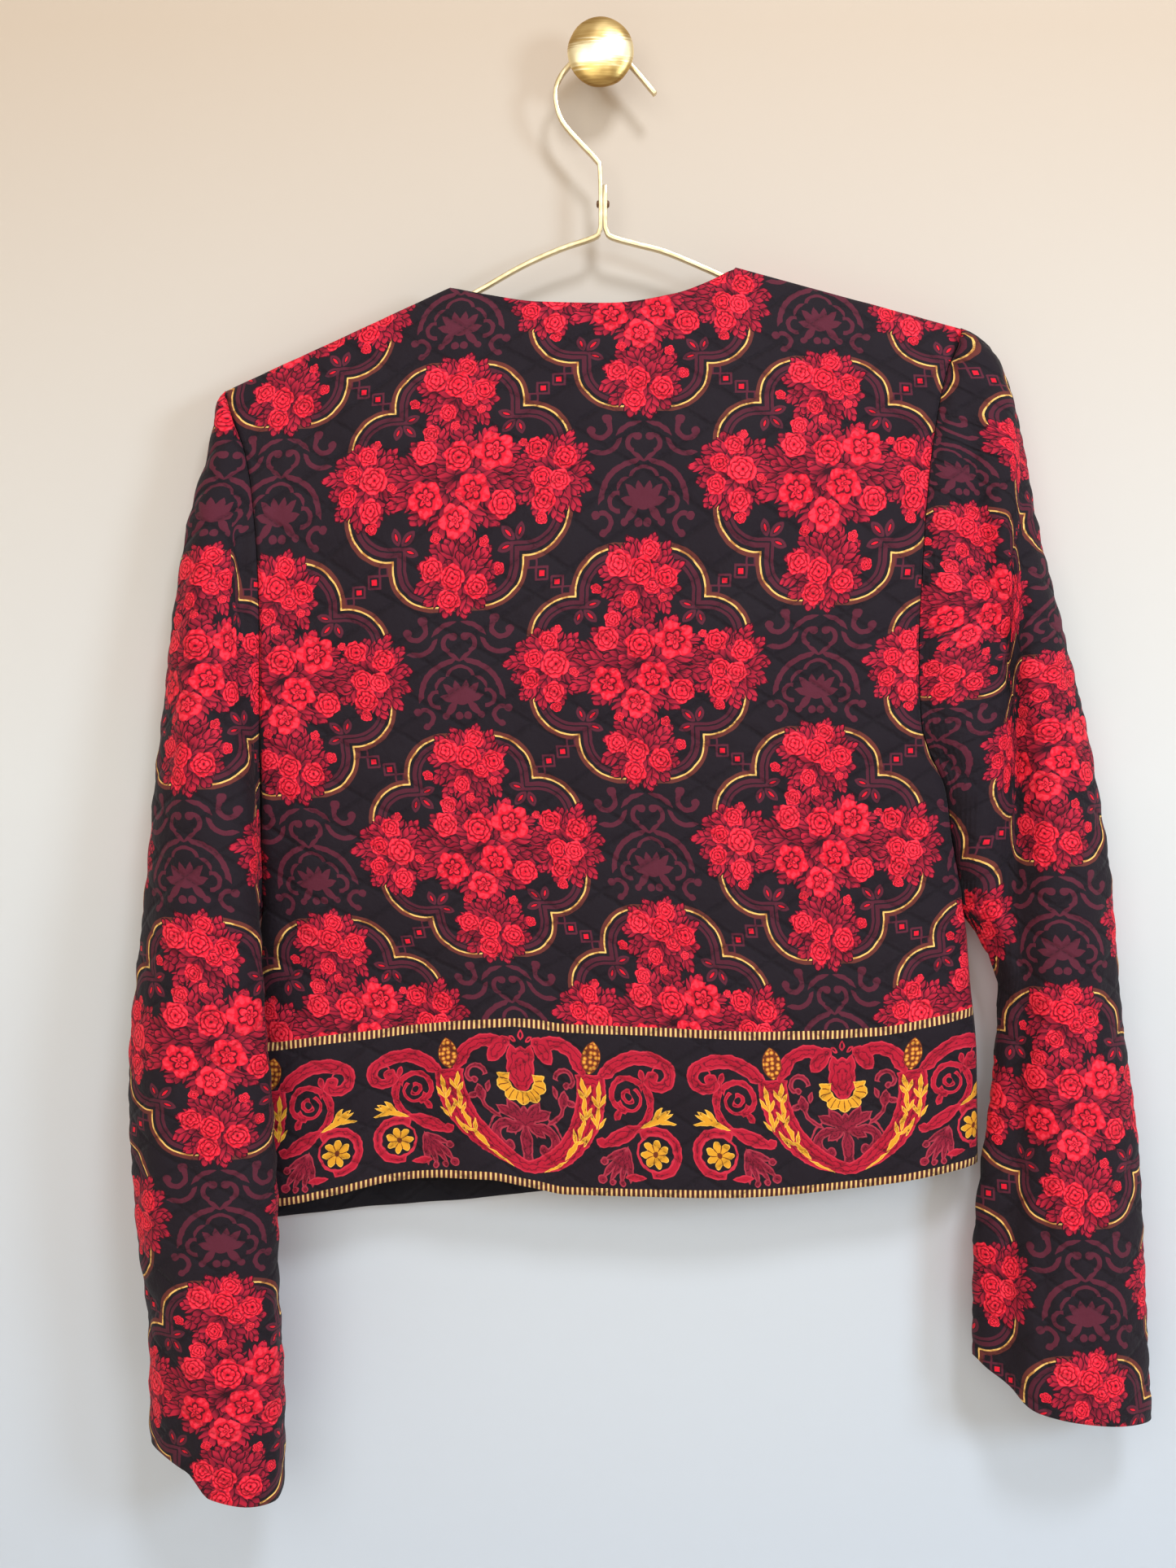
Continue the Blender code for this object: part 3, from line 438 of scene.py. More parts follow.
class Term:
    __add__ = __radd__ = maths("ADD")
    __sub__ = maths("SUBTRACT")
    __rsub__ = maths("SUBTRACT", True)
    __mul__ = __rmul__ = maths("MULTIPLY")
    __truediv__ = maths("DIVIDE")
    __rtruediv__ = maths("DIVIDE", True)
    __lt__ = maths("LESS_THAN")
    __gt__ = maths("GREATER_THAN")
    __and__ = maths("MINIMUM")
    __or__ = maths("MAXIMUM")
    __abs__ = maths("ABSOLUTE")
    near = maths("COMPARE")      # takes a value and the reach to either side of it
    wrapped = maths("WRAP")      # takes the highest value, then the lowest
    sine = maths("SINE")
    cosine = maths("COSINE")
    part = maths("FRACT")
    sign = maths("SIGN")
    arcTangent = maths("ARCTAN2")

    def __init__(self, tree, socket):
        self.tree = tree
        self.socket = socket

    def node(self, kind, settings=None, inputs=None, output=0):
        made = self.tree.nodes.new("ShaderNode" + kind)
        for name, value in (settings or {}).items():
            if name == "stops":
                while len(made.color_ramp.elements) < len(value):
                    made.color_ramp.elements.new(0.5)
                for element, (place, colour) in zip(made.color_ramp.elements, value):
                    element.position = place
                    element.color = (*colour, 1.0)
            else:
                setattr(made, name, value)
        for name, value in (inputs or {}).items():
            if isinstance(value, Term):
                self.tree.links.new(value.socket, made.inputs[name])
            elif isinstance(value, tuple) and made.inputs[name].type == "RGBA":
                made.inputs[name].default_value = (*value, 1.0)
            else:
                made.inputs[name].default_value = value
        return Term(self.tree, made.outputs[output])

    def vector(self, operation, *others, output=0):
        return self.node("VectorMath", {"operation": operation}, dict(enumerate((self, *others))), output)

    def component(self, index):
        return self.node("SeparateXYZ", inputs={0: self}, output=index)

    def pair(self):
        return self.component(0), self.component(1)

    def length(self):
        return self.vector("LENGTH", output=1)

    def angle(self):
        return self.component(1).arcTangent(self.component(0))

    def ramp(self, *stops):
        return self.node("ValToRGB", {"stops": stops}, {"Fac": self})

    def grain(self, scale, detail, output=0):
        values = {"Vector": self, "Scale": scale, "Detail": detail}
        return self.node("TexNoise", {"noise_dimensions": "2D"}, values, output)

    def ease(self, low, high):
        settings = {"interpolation_type": "SMOOTHSTEP"}
        return self.node("MapRange", settings, {"Value": self, "From Min": low, "From Max": high})

    def blend(self, under, over):
        # this mask lays one colour over another
        return self.node("Mix", {"data_type": "RGBA"}, {0: self, 6: under, 7: over}, 2)

    def blendVector(self, under, over):
        return self.node("Mix", {"data_type": "VECTOR"}, {0: self, 4: under, 5: over}, 1)


def newMaterial(name):
    material = bpy.data.materials.new(name)
    material.use_nodes = True
    tree = material.node_tree
    return material, Term(tree, None), tree.nodes["Principled BSDF"]


def feed(node, **inputs):
    for name, value in inputs.items():
        socket = node.inputs[name.replace("_", " ")]
        if isinstance(value, Term):
            value.tree.links.new(value.socket, socket)
        else:
            socket.default_value = value


# the print, in millimetres on the cloth's own coordinates

inks = {
    "ground": (0.0125, 0.0080, 0.0120),
    "scroll": (0.098, 0.015, 0.029),
    "band": (0.082, 0.013, 0.025),
    "brown": (0.130, 0.028, 0.022),
    "gold": (0.88, 0.52, 0.14),
    "goldDark": (0.46, 0.19, 0.045),
    "petalDark": (0.100, 0.0015, 0.008),
    "petal": (0.700, 0.008, 0.027),
    "petalLight": (0.860, 0.036, 0.064),
    "leafDark": (0.032, 0.0026, 0.0080),
    "leaf": (0.220, 0.007, 0.023),
    "leafLight": (0.510, 0.014, 0.040),
    "crimson": (0.440, 0.009, 0.029),
    "crimsonDark": (0.150, 0.004, 0.016),
    "crimsonRim": (0.560, 0.024, 0.050),
    "wine": (0.250, 0.010, 0.029),
    "wineDark": (0.090, 0.004, 0.014),
    "wineRim": (0.380, 0.032, 0.055),
    "mustard": (0.720, 0.320, 0.020),
    "mustardDark": (0.150, 0.030, 0.008),
    "mustardRim": (0.860, 0.460, 0.060),
    "berryRim": (0.50, 0.13, 0.02),
    "braid": (0.070, 0.013, 0.014),
    "braidGold": (0.80, 0.52, 0.19),
    # dark thread of the stitches, also used for the painted shade along the stitched lines
    "stitch": (0.006, 0.004, 0.006),
    "plainDark": (0.006, 0.005, 0.007),
    "plain": (0.012, 0.010, 0.013),
}


# the print's repeat, in its own sizes and as it lies on the cloth
repeat = {
    "width": 194.0,
    "half": 102.0,           # half its height
    "acrossCloth": 199.0,
    "upCloth": 99.5,
    "middle": 20.0,          # a medallion's centre on the back
    "level": 295.0,
    "sleeveLevel": 892.0,
    "leanLevel": 345.0,      # under this the rows lie further right
    "lean": 0.00035,
    "narrowLevel": 294.0,    # and under this the columns are closer together
    "narrow": 0.093,
    "ornamentDrop": 3.0,
    "rise": ((345.0, 397.0, 460.0, 500.0), (0.0, 8.8, 10.5, 11.0)),
    "spread": 0.045,
    "spreadLevel": 285.0,
    "spreadMiddle": -70.0,
}


def clothPlace(start):
    uvMap = start.node("UVMap", {"uv_map": "cloth"})
    return uvMap.vector("MULTIPLY", (1000.0, 1000.0, 0.0))


def joined(x, y):
    return x.node("CombineXYZ", inputs={0: x, 1: y})


def apart(place, x, y):
    return place.vector("DISTANCE", (x, y, 0.0), output=1)


# shapes give the distance from their edge, less than nothing inside
def ball(place, x, y, radius):
    return apart(place, x, y) - radius


def arc(place, x, y, radius, width, start, end):
    middle = math.radians((start + end) / 2)
    half = math.radians((end - start) / 2)
    line = abs(apart(place, x, y) - radius) - width / 2
    if end - start >= 360:
        return line
    c = math.cos(middle)
    s = math.sin(middle)
    reach = x * c + y * s + radius * math.cos(half)
    return line | (reach - place.vector("DOT_PRODUCT", (c, s, 0.0), output=1))


def leaf(place, x, y, turn, length, width):
    radius = (length ** 2 + width ** 2) / (4 * width)
    aside = radius - width / 2
    c = math.cos(math.radians(turn))
    s = math.sin(math.radians(turn))
    sides = apart(place, x - s * aside, y + c * aside) | apart(place, x + s * aside, y - c * aside)
    return sides - radius


def box(place, x, y, half):
    corner = place.vector("SUBTRACT", (x, y, 0.0)).vector("ABSOLUTE")
    return (corner.component(0) | corner.component(1)) - half


def rounded(place, x, y, radius):
    # everything up to x and y and as far as the radius beyond
    beyond = place.vector("SUBTRACT", (x, y, 0.0)).vector("MAXIMUM", (0.0, 0.0, 0.0))
    return beyond.length() - radius


def drawn(place, rows):
    whole = None
    for shape, *sizes in rows:
        edge = shape(place, *sizes)
        whole = edge if whole is None else whole & edge
    return whole


def scalloped(place, x, y, half, depth, radius):
    # a round flower with twice this many petals: its edge, how far out a place is, and its turn
    away = place.vector("SUBTRACT", (x, y, 0.0))
    far = away.length()
    turn = away.angle()
    return far - (abs((turn * half).sine()) * depth + radius), far, turn


def wandering(place, amount, scale):
    # hand-drawn edges: the place itself wanders a little
    drift = place.grain(scale, 1.0, 1).vector("SUBTRACT", (0.5, 0.5, 0.5))
    drift = drift.vector("MULTIPLY", (amount, amount, 0.0))
    return place.vector("ADD", drift)


# flowers of one bouquet, those in front last: x, y and radius
bouquet = [
    (12.5, 38, 2.4), (-24, 43, 3), (6.5, 45.5, 5.4), (4.5, 62, 5.6), (-12.5, 56, 7), (14, 49, 6.4),
    (0, 52.5, 7.6), (-5.5, 37, 4.9), (-45, 21, 2.6), (-47, -22, 3.2), (-36, -3.5, 2.8), (-50, 15, 5.6),
    (-58.5, 5, 5.4), (-60.5, -6.5, 5.4), (-48, -14, 6.2), (-46.5, 1.5, 8.2), (35, 18, 2.4),
    (45, -22, 3.2), (42.5, 14, 6.4), (45, -2, 6.4), (46, -13, 6.6), (54.5, -3.5, 6), (57.5, 8.5, 6.6),
    (22, -44, 3.2), (14, -31, 2.8), (-14.5, -43, 6.2), (10, -52.5, 6.6), (-5, -59, 6.6),
    (-3, -47.5, 6.9), (-1.5, 29.5, 2.8), (-12, -28.5, 2.7), (-15, 26, 4.6), (24, -14, 7.4),
    (-1.5, -20.5, 8.9), (-17.5, -9.5, 9.8), (-18, 15, 7.2), (19.5, 14.5, 11.2), (8, -6.5, 9.8),
    (0.5, 12, 8.6),
]
# right half of the wine-red ornament between the medallions
ornament = [
    (arc, 23, 27.6, 5.3, 2.8, 150, 345), (ball, 19.2, 33, 2.6), (leaf, 18.2, 30.4, 80, 8, 3),
    (ball, 27.4, 26.4, 2.4), (arc, 3.5, 20.5, 10.3, 2.7, 22, 95), (arc, 22.2, 23, 9.3, 2.8, 186, 300),
    (arc, 3.6, 19.4, 4.9, 2.5, -70, 100), (ball, 3.2, 23.4, 2.2), (leaf, 3.2, 12.2, 40, 10, 2.4),
    (arc, 0, -12.5, 22.3, 2.9, 0, 84), (arc, 0, -1, 7.2, 2, 15, 165), (arc, 8.6, -5.2, 4.7, 2, -8, 92),
    (arc, 13.2, -12.2, 4.5, 2.3, -105, 98), (ball, 0, -11, 5), (leaf, 1.6, -8, 76, 14, 4.2),
    (leaf, 5, -8.4, 48, 14, 4.6), (leaf, 5.8, -12, 14, 13, 4.8), (leaf, 6.2, -17.6, -52, 11, 4),
    (ball, 9.8, -21.8, 2), (ball, 2.4, -22, 2.2), (arc, 21.6, -22.4, 4.8, 2.5, 75, 262),
    (ball, 24.8, -18.8, 2.2), (ball, 20.6, -27.4, 2),
]
# a quarter of a medallion's frame: its outline, its lines by their distance out from it, half width and
# ink, the leaves in its corner, and the squares that join it to the next
frameOutline = [(rounded, 12.4, 42.7, 22.1), (rounded, 35.8, 17.4, 22.1)]
frameLines = [(1.5, 1.1, "brown"), (-3.4, 1.2, "band"), (-6.2, 0.8, "band")]
cornerLeaves = [(leaf, 25.2, 35.2, 160, 9, 4.6), (leaf, 26.4, 28.4, 45, 9.6, 4.8),
                (leaf, 32.6, 27.6, 105, 9, 4.6)]
largeSquare = (44.4, 48.6, 3.6)
smallSquare = (39.4, 43.6, 2.6)


def halfDrop(x, y):
    # the nearer of a centre and the ones half way to the next in both directions
    width = repeat["width"] / 2
    height = repeat["half"]
    other = (abs(x) / width + abs(y) / height) > 1.0
    return joined(x - x.sign() * other * width, y - y.sign() * other * height)


flower = {
    "openRadius": 8.7,    # larger ones are open
    "openDepth": 0.12,    # deeper notches between an open flower's petals
    "openInner": 0.24,    # and smaller rings inside it
    # rings of petals, from the rim inwards: size, depth of the notches, half the petals, turn
    "rings": ((1.0, 0.15, 2.5, 0.0), (0.70, 0.13, 2.5, 1.5), (0.42, 0.10, 2.0, 0.4)),
    "streaks": 0.10,
    "mottled": 0.55,
    "own": 0.07,          # each flower's own brightness
}


def flowerColour(place, rows):
    nearest = None
    for x, y, radius in rows:
        mask = apart(place, x, y) < radius
        here = place.node("CombineXYZ", inputs={0: x, 1: y, 2: radius})
        nearest = here if nearest is None else mask.blendVector(nearest, here)
    radius = nearest.component(2)
    away = place.vector("SUBTRACT", nearest).vector("MULTIPLY", (1.0, 1.0, 0.0))
    far = away.length() / radius
    turn = away.angle() + radius * 11.0
    isOpen = radius > flower["openRadius"]
    # each ring is brighter towards its own rim
    rings = []
    for size, swing, count, begin in flower["rings"]:
        scallop = abs((turn * count + begin).sine())
        inner = isOpen * (flower["openInner"] if size < 1 else 0.0)
        spread = isOpen * flower["openDepth"] + swing
        rings.append((scallop, scallop * spread + size - spread - inner))
    isFlower = far < rings[0][1]
    shade = None
    insides = [*(rim for _, rim in rings[1:]), rings[0][1] * 0.02]
    for (scallop, rim), within in zip(rings, insides):
        share = (far - within) / (rim - within)
        ring = share.ease(-0.06, 0.60) * (scallop.ease(0.0, 0.42) * 0.5 + 0.5)
        ring = ring * (1.0 - share.ease(0.84, 1.04) * 0.45)
        shade = ring if shade is None else shade + (ring - shade) * (far < rim)
    streaks = (turn * 14.0 + far * 4.0).sine() * far.ease(0.2, 0.8) * flower["streaks"]
    mottled = (place.grain(0.55, 2.0) - 0.5) * flower["mottled"]
    shade = shade + streaks + mottled + (radius * 37.0).sine() * flower["own"]
    petals = shade.ramp((0.16, inks["petalDark"]), (0.52, inks["petal"]), (0.82, inks["petal"]),
                        (1.0, inks["petalLight"]))
    return petals, isFlower


# a bouquet has a bunch of leaves in its middle and four round it. Each has a dark core, and rings with
# the radius to the leaves' tips, how many there are, and a leaf's length and width.
bunches = {
    "across": 50.5,       # from the bouquet's middle to an outer bunch
    "up": 47.5,
    "outerCore": 17.5,
    "outerRings": [(25.6, 12, 15, 4.9), (21, 10, 14, 5.2), (14, 7, 12, 5.2)],
    "middleCore": 22.0,
    "middleRings": [(35.5, 15, 17, 5.6), (28, 12, 15, 5.8), (20, 9, 13, 5.8), (11.5, 6, 10, 4.8)],
    "widened": 0.82,      # the middle bunch is wider than it is tall
    "flattened": 1.10,
}


foliage = {
    "lean": 0.7,          # how far leaves turn aside
    "shorter": 0.26,      # share that the shortest leaves lose
    "teeth": 0.52,
    "rim": 0.9,
    "vein": 0.32,
}


def leafRing(place, seed, colour, radius, count, length, wide):
    # a ring of toothed leaves that point out of their bunch
    sector = place.angle() * (count / (2 * math.pi)) + seed
    swing = (sector.part() - 0.5) * (2 * math.pi / count)
    chance = (((sector - sector.part()).wrapped(count, 0.0) * 7.31 + seed * 5.7).sine() * 43.7).part()
    lean = (chance * 17.3).part() - 0.5
    away = place.length()
    along = away * swing.cosine()
    aside = abs(away * swing.sine() + (along - (radius - length / 2)) * lean * foliage["lean"])
    size = chance * foliage["shorter"] + (1 - foliage["shorter"])
    reach = (along - (radius - length)) / size / length
    saw = (along * 0.21 - aside * 0.20 + chance).part()
    toothed = saw * foliage["teeth"] + (1 - foliage["teeth"])
    edge = aside - reach * (1.0 - reach) * toothed * (4.4 * wide)
    light = (reach * 0.44 + chance * 0.28 + 0.12) * (saw.ease(0.0, 0.6) * 0.66 + 0.34)
    tone = light.ramp((0.10, inks["leafDark"]), (0.36, inks["leaf"]), (0.74, inks["leafLight"]),
                      (1.0, inks["petal"]))
    tone = ((aside < foliage["vein"]) * (reach < 0.8) * 0.8).blend(tone, inks["leafDark"])
    colour = (edge < foliage["rim"]).blend(colour, inks["leafDark"])
    return (edge < 0.0).blend(colour, tone)


def bouquetLeaves(place, colour):
    # the four outer bunches first, then the middle one over them
    x, y = place.pair()
    isSide = abs(x) > abs(y)
    outX = x.sign() * isSide * bunches["across"]
    outY = y.sign() * (1.0 - isSide) * bunches["up"]
    seed = outX * 0.013 + outY * 0.029 + 2.1
    spot = joined(x - outX, y - outY)
    colour = (spot.length() < bunches["outerCore"]).blend(colour, inks["leafDark"])
    for ring in bunches["outerRings"]:
        colour = leafRing(spot, seed + ring[0] * 0.37, colour, *ring)
    spot = joined(x * bunches["widened"], y * bunches["flattened"])
    colour = (spot.length() < bunches["middleCore"]).blend(colour, inks["leafDark"])
    for ring in bunches["middleRings"]:
        colour = leafRing(spot, 0.4 + ring[0] * 0.41, colour, *ring)
    return colour


def fieldColour(start):
    place = clothPlace(start)
    u, v = place.pair()
    # the cloth hangs askew: lower rows lie further right and closer together
    half = repeat["half"]
    below = (repeat["leanLevel"] - v) | 0.0
    period = repeat["acrossCloth"] - ((repeat["narrowLevel"] - v) | 0.0) * repeat["narrow"]
    x = (u - below * below * repeat["lean"] - repeat["middle"]) * (repeat["width"] / period)
    x = x.wrapped(repeat["width"] / 2, -repeat["width"] / 2)
    y = ((v - repeat["level"]) * (half / repeat["upCloth"])).wrapped(half, -half)
    medallion = halfDrop(x, y)
    spot = halfDrop(x, y - y.sign() * half)
    spot = joined(abs(spot.component(0)), spot.component(1) + repeat["ornamentDrop"])

    colour = (drawn(wandering(spot, 0.9, 0.3), ornament) < 0.0).blend(inks["ground"], inks["scroll"])
    folded = wandering(medallion.vector("ABSOLUTE"), 0.5, 0.2)
    large = box(folded, *largeSquare)
    small = box(folded, *smallSquare)
    colour = (large.near(-0.6, 0.6) | small.near(-0.5, 0.5)).blend(colour, inks["scroll"])
    colour = (large < -2.2).blend(colour, inks["petal"])
    edge = drawn(folded, frameOutline)
    colour = (edge < 0.0).blend(colour, inks["ground"])
    for away, half, ink in frameLines:
        colour = edge.near(away, half).blend(colour, inks[ink])
    worn = medallion.grain(0.16, 2.0).ease(0.34, 0.50)
    colour = edge.near(0.0, 0.46).blend(colour, worn.blend(inks["goldDark"], inks["gold"]))
    corner = drawn(folded, cornerLeaves)
    colour = corner.near(-0.6, 0.7).blend(colour, inks["scroll"])
    colour = (corner < -1.7).blend(colour, inks["petal"])
    # the bouquet: its leaves, then the flowers
    medallion = medallion.vector("MULTIPLY", (1.026, 0.976, 1.0))
    colour = bouquetLeaves(wandering(medallion, 2.0, 0.16), colour)
    bloom, isFlower = flowerColour(wandering(medallion, 2.0, 0.24), bouquet)
    return isFlower.blend(colour, bloom)


# one half of the border's repeat, mirrored about the tulip: x from the tulip, y from the lower trim
wineShapes = [
    (arc, 10, 45, 13, 2.4, -75, 5), (leaf, 23.4, 46, 78, 12, 5.4), (leaf, 27, 45, -25, 8, 3.4),
    (leaf, 18.8, 50, 110, 8, 3), (arc, 24.6, 57.5, 4.8, 2.6, -60, 190), (ball, 25.6, 54.2, 1.9),
    (leaf, 4.4, 35, 58, 19, 7), (leaf, 9.4, 35.5, 28, 15, 6), (leaf, 0, 33, 90, 14, 6),
    (arc, 10.5, 22.5, 6.6, 5.2, -95, 150), (ball, 10, 16.8, 3.2), (leaf, 6, 27.5, -35, 13, 6),
    (arc, 6, 21, 15.6, 1.3, -10, 62), (leaf, 0, 20, 90, 22, 7), (box, 0, 11.4, 2.6),
    (leaf, 2.4, 7, 60, 8, 3.6), (leaf, 49.2, 13.5, 46, 25, 4.2), (leaf, 51.6, 12.5, 58, 23, 4.4),
    (leaf, 54.6, 12.2, 73, 22, 4.4), (leaf, 57.6, 12.5, 89, 21, 4.4), (leaf, 50.6, 18.4, 27, 17, 3.8),
    (ball, 41.6, 4.6, 2.5), (ball, 47.4, 3, 2), (ball, 52.6, 2.6, 2), (ball, 43.6, 14.4, 2.3),
]
spiralShapes = [
    (arc, 54.5, 47, 17.6, 4.2, -62, 40), (arc, 60, 50.5, 9.2, 3.2, 20, 262),
    (arc, 60.6, 48.4, 6.2, 2, 190, 420), (arc, 60, 49.6, 3, 2.2, 60, 330),
    (leaf, 53.4, 39.6, 60, 7, 4.4), (leaf, 68.6, 61, 105, 8, 3.6),
]
crimsonShapes = [
    (arc, 67.5, 47, 24, 8, 58, 152), (arc, 77.6, 62, 6.6, 6.4, -170, 92), (ball, 74.2, 60.6, 3.4),
    (arc, 19.6, 63, 13.6, 7.6, -8, 118), (leaf, 13, 71, -55, 16, 9.5), (ball, 9.6, 75.4, 3.6),
    (arc, 73, 19.4, 12.3, 4.6, -105, 130), (arc, 73, 19.2, 10.2, 1.3, -180, 180),
    (leaf, 54, 28, 26, 28, 8.4), (leaf, 60.5, 5.6, -4, 12, 4.2), (ball, 42.6, 24.8, 2.6),
    (leaf, 0, 60, 90, 26, 16), (leaf, 4, 66, 76, 17, 7),
]
mustardShapes = [(leaf, *row) for row in (
    (43.6, 51, 84, 14, 2.6), (45.6, 46.6, 62, 9, 2.2), (41.2, 46, 112, 8, 2.2), (42, 38, 80, 14, 2.6),
    (44, 34.4, 56, 8, 2), (39.4, 36.4, 112, 8, 2), (35.6, 26.6, 62, 12, 2.4), (35.2, 54, 98, 11, 2.6),
    (37.8, 51.6, 66, 8, 2.2), (33.8, 49.6, 118, 8, 2.2), (35, 43, 88, 14, 2.8), (37, 39.6, 62, 8, 2),
    (33.4, 36.6, 112, 8, 2), (32, 30.6, 70, 12, 3), (32.4, 25, 44, 8, 2.2), (28, 26.6, 92, 9, 2.2),
    (26, 19.6, 50, 15, 3.2), (16, 9.4, 34, 18, 1.5), (75, 36.8, 24, 21, 3.2), (75.4, 40, 52, 11, 2.8),
    (80.4, 36.2, -6, 11, 2.8), (79, 40.2, 34, 10, 2.6),
)]
outlinedPetals = [(leaf, 0, 79, 90, 6.4, 2.8), (leaf, 4.6, 77, 35, 5.6, 2.8)]


border = {
    "half": 90.5,         # half the width of its repeat
    "middle": -45.5,      # place across of a tulip
    "start": 5.0,         # height of its lower trim
    "driftLevel": 60.0,   # under this the shapes lie further right
    "drift": 0.09,
    "trimLow": 4.4,
    "trimHigh": 91.0,
    "trimHalf": 2.5,
    "top": 93.4,
    "bars": 2.75,         # from one gold bar to the next
}


def borderColour(start):
    whole = clothPlace(start)
    v = whole.component(1)
    y = v - border["start"]
    drift = ((border["driftLevel"] - y) | 0.0) * border["drift"]
    x = (whole.component(0) - border["middle"] - drift).wrapped(border["half"], -border["half"])
    x = abs(x)
    place = joined(x, y)
    rough = wandering(place, 1.6, 0.22)
    grain = place.grain(0.25, 3.0)

    def inked(colour, edge, family, pitch, rim=-0.75):
        # a lighter rim, then fine lines that follow the shape's edge
        lines = ((edge + (grain - 0.5) * 4.0) / pitch).part().ease(0.06, 0.40)
        inside = lines.blend(inks[family + "Dark"], inks[family])
        inside = (edge > rim).blend(inside, inks[family + "Rim"])
        return (edge < 0.0).blend(colour, inside)

    colour = inked(inks["ground"], drawn(rough, wineShapes), "wine", 1.9)
    colour = inked(colour, drawn(rough, spiralShapes), "crimson", 2.2, -0.5)
    bowl = ball(rough, -4.8, 55.6, 52.6) | (51.2 - apart(rough, -19.8, 56.8))
    bowl = bowl | (rough.component(1) - 61.0)
    colour = inked(colour, bowl & drawn(rough, crimsonShapes), "crimson", 2.7)
    colour = drawn(rough, outlinedPetals).near(-0.5, 0.45).blend(colour, inks["crimsonRim"])
    # yellow leaves, rosette, bib and berries
    rosette, far, turn = scalloped(rough, 72.6, 18.6, 3.5, 3.6, 4.6)
    bib, bibFar, bibTurn = scalloped(rough, 0.0, 54.5, 5.0, 1.8, 12.6)
    bib = bib | (7.0 - bibFar) | (rough.component(1) - 57.9)
    colour = inked(colour, drawn(rough, mustardShapes), "mustard", 3.4, -0.4)
    colour = inked(colour, rosette & bib, "mustard", 9.0, -0.6)
    spokes = (bib < -0.6) * (abs((bibTurn * 10.0).sine()) < 0.22)
    spokes = spokes | ((far < 5.0) * (abs((turn * 3.5).sine()) < 0.25))
    colour = (spokes | (far < 1.5)).blend(colour, inks["mustardDark"])
    berries = {"Vector": place, "Scale": 0.36, "Randomness": 0.45}
    seeds = place.node("TexVoronoi", {"voronoi_dimensions": "2D"}, berries)
    bunch = leaf(place, 40.0, 70.0, 82.0, 18.0, 10.0)
    colour = (bunch < 0.4).blend(colour, inks["mustardDark"])
    berry = seeds.ease(0.0, 0.4).blend(inks["mustardRim"], inks["berryRim"])
    colour = ((bunch < 0.0) * (seeds < 0.43)).blend(colour, berry)
    # the two trims: gold bars on dark braid
    along = (whole.component(0) / border["bars"]).part()
    bars = along.ease(0.0, 0.14) * (1.0 - along.ease(0.40, 0.54))
    braid = bars.blend(inks["braid"], inks["braidGold"])
    trim = v.near(border["trimHigh"], border["trimHalf"]) | (v < border["trimLow"])
    colour = trim.blend(colour, braid)
    return (v > border["top"]).blend(colour, inks["ground"])


# heights in millimetres, distances from the stitched line
stitching = {
    "across": 20.27,      # between the lines
    "groove": 0.55,
    "grooveWide": 2.2,
    "pucker": 1.35,
    "weave": 0.018,
    "threads": 9.0,       # how fine the weave is
    "dash": 0.10,
    "dashWide": 0.34,
    "dashes": 6.48,       # stitches along a diamond's side
    "dashShare": 0.66,
    "dashShade": 0.45,
    # strength of the painted shade along the stitched lines
    "shadow": 0.16,
}


def quiltedSurface(start, shader, colour):
    # stitched lines, the cloth's small puckers beside them and its weave, with painted shade darkening the
    # cloth along each stitched line
    place = clothPlace(start)
    u, v = place.pair()
    a = u / cloth["diamondWidth"] + v / cloth["diamondHeight"]
    b = u / cloth["diamondWidth"] - v / cloth["diamondHeight"]
    fromA = 0.5 - abs(a.part() - 0.5)
    fromB = 0.5 - abs(b.part() - 0.5)
    away = (fromA & fromB) * stitching["across"]
    groove = away.ease(0.0, stitching["grooveWide"]) * stitching["groove"]
    alongLine = (b + (a - b) * (fromB < fromA)) * stitching["dashes"]
    dash = (alongLine.part() < stitching["dashShare"]) * (away < stitching["dashWide"])
    pucker = place.node("TexNoise", {"noise_dimensions": "2D"},
                        {"Vector": place, "Scale": 0.13, "Detail": 3.0, "Roughness": 0.55})
    creased = (pucker - 0.5) * (stitching["pucker"] - away.ease(0.0, 7.0) * 0.6)
    weave = (u * stitching["threads"]).sine() * (v * stitching["threads"]).sine() * stitching["weave"]
    height = groove + creased + weave + dash * stitching["dash"]
    bump = start.node("Bump", inputs={"Strength": 1.0, "Distance": 0.001, "Height": height})
    # painted shade: the colour darkens towards each stitched line as if the groove lay in shade; the dashes
    # are the thread's own dark colour
    shadow = (1.0 - away.ease(0.2, 2.0)) * stitching["shadow"]
    threadAndGrooveShade = (shadow | dash * stitching["dashShade"]).blend(colour, inks["stitch"])
    feed(shader, Base_Color=threadAndGrooveShade, Roughness=place.grain(0.02, 2.0) * 0.16 + 0.68, Normal=bump,
         Specular_IOR_Level=0.16, Sheen_Weight=0.03, Sheen_Roughness=0.5)


def plainColour(start):
    return clothPlace(start).grain(0.05, 3.0).blend(inks["plainDark"], inks["plain"])


def makeCloth(name, painter):
    material, start, shader = newMaterial(name)
    quiltedSurface(start, shader, painter(start))
    return material


fieldPrint = makeCloth("printed cotton field", fieldColour)
borderPrint = makeCloth("printed cotton border", borderColour)
innerCloth = makeCloth("plain black cotton", plainColour)
clothMaterials = [fieldPrint, innerCloth, borderPrint, innerCloth]
print("cloth materials made")


# the jacket

def between(low, high, spacing):
    count = max(2, round(abs(high - low) / spacing))
    return np.linspace(low, high, count + 1)[:-1]


def torsoPlaces(start, end):
    # columns fall on the neck's two corners
    height = np.array([-132.0])
    left = torsoAcross(np.array([0.0]), height)[0]
    right = torsoAcross(np.array([1.0]), height)[0]
    corners = [(x - left) / (right - left) for x in (ridge[1, 0], ridge[2, 0])]
    stops = [start, *[corner for corner in corners if start < corner < end], end]
    spacing = cloth["spacing"] / (right - left)
    spans = [between(low, high, spacing) for low, high in zip(stops, stops[1:])]
    return np.concatenate([*spans, [end]])


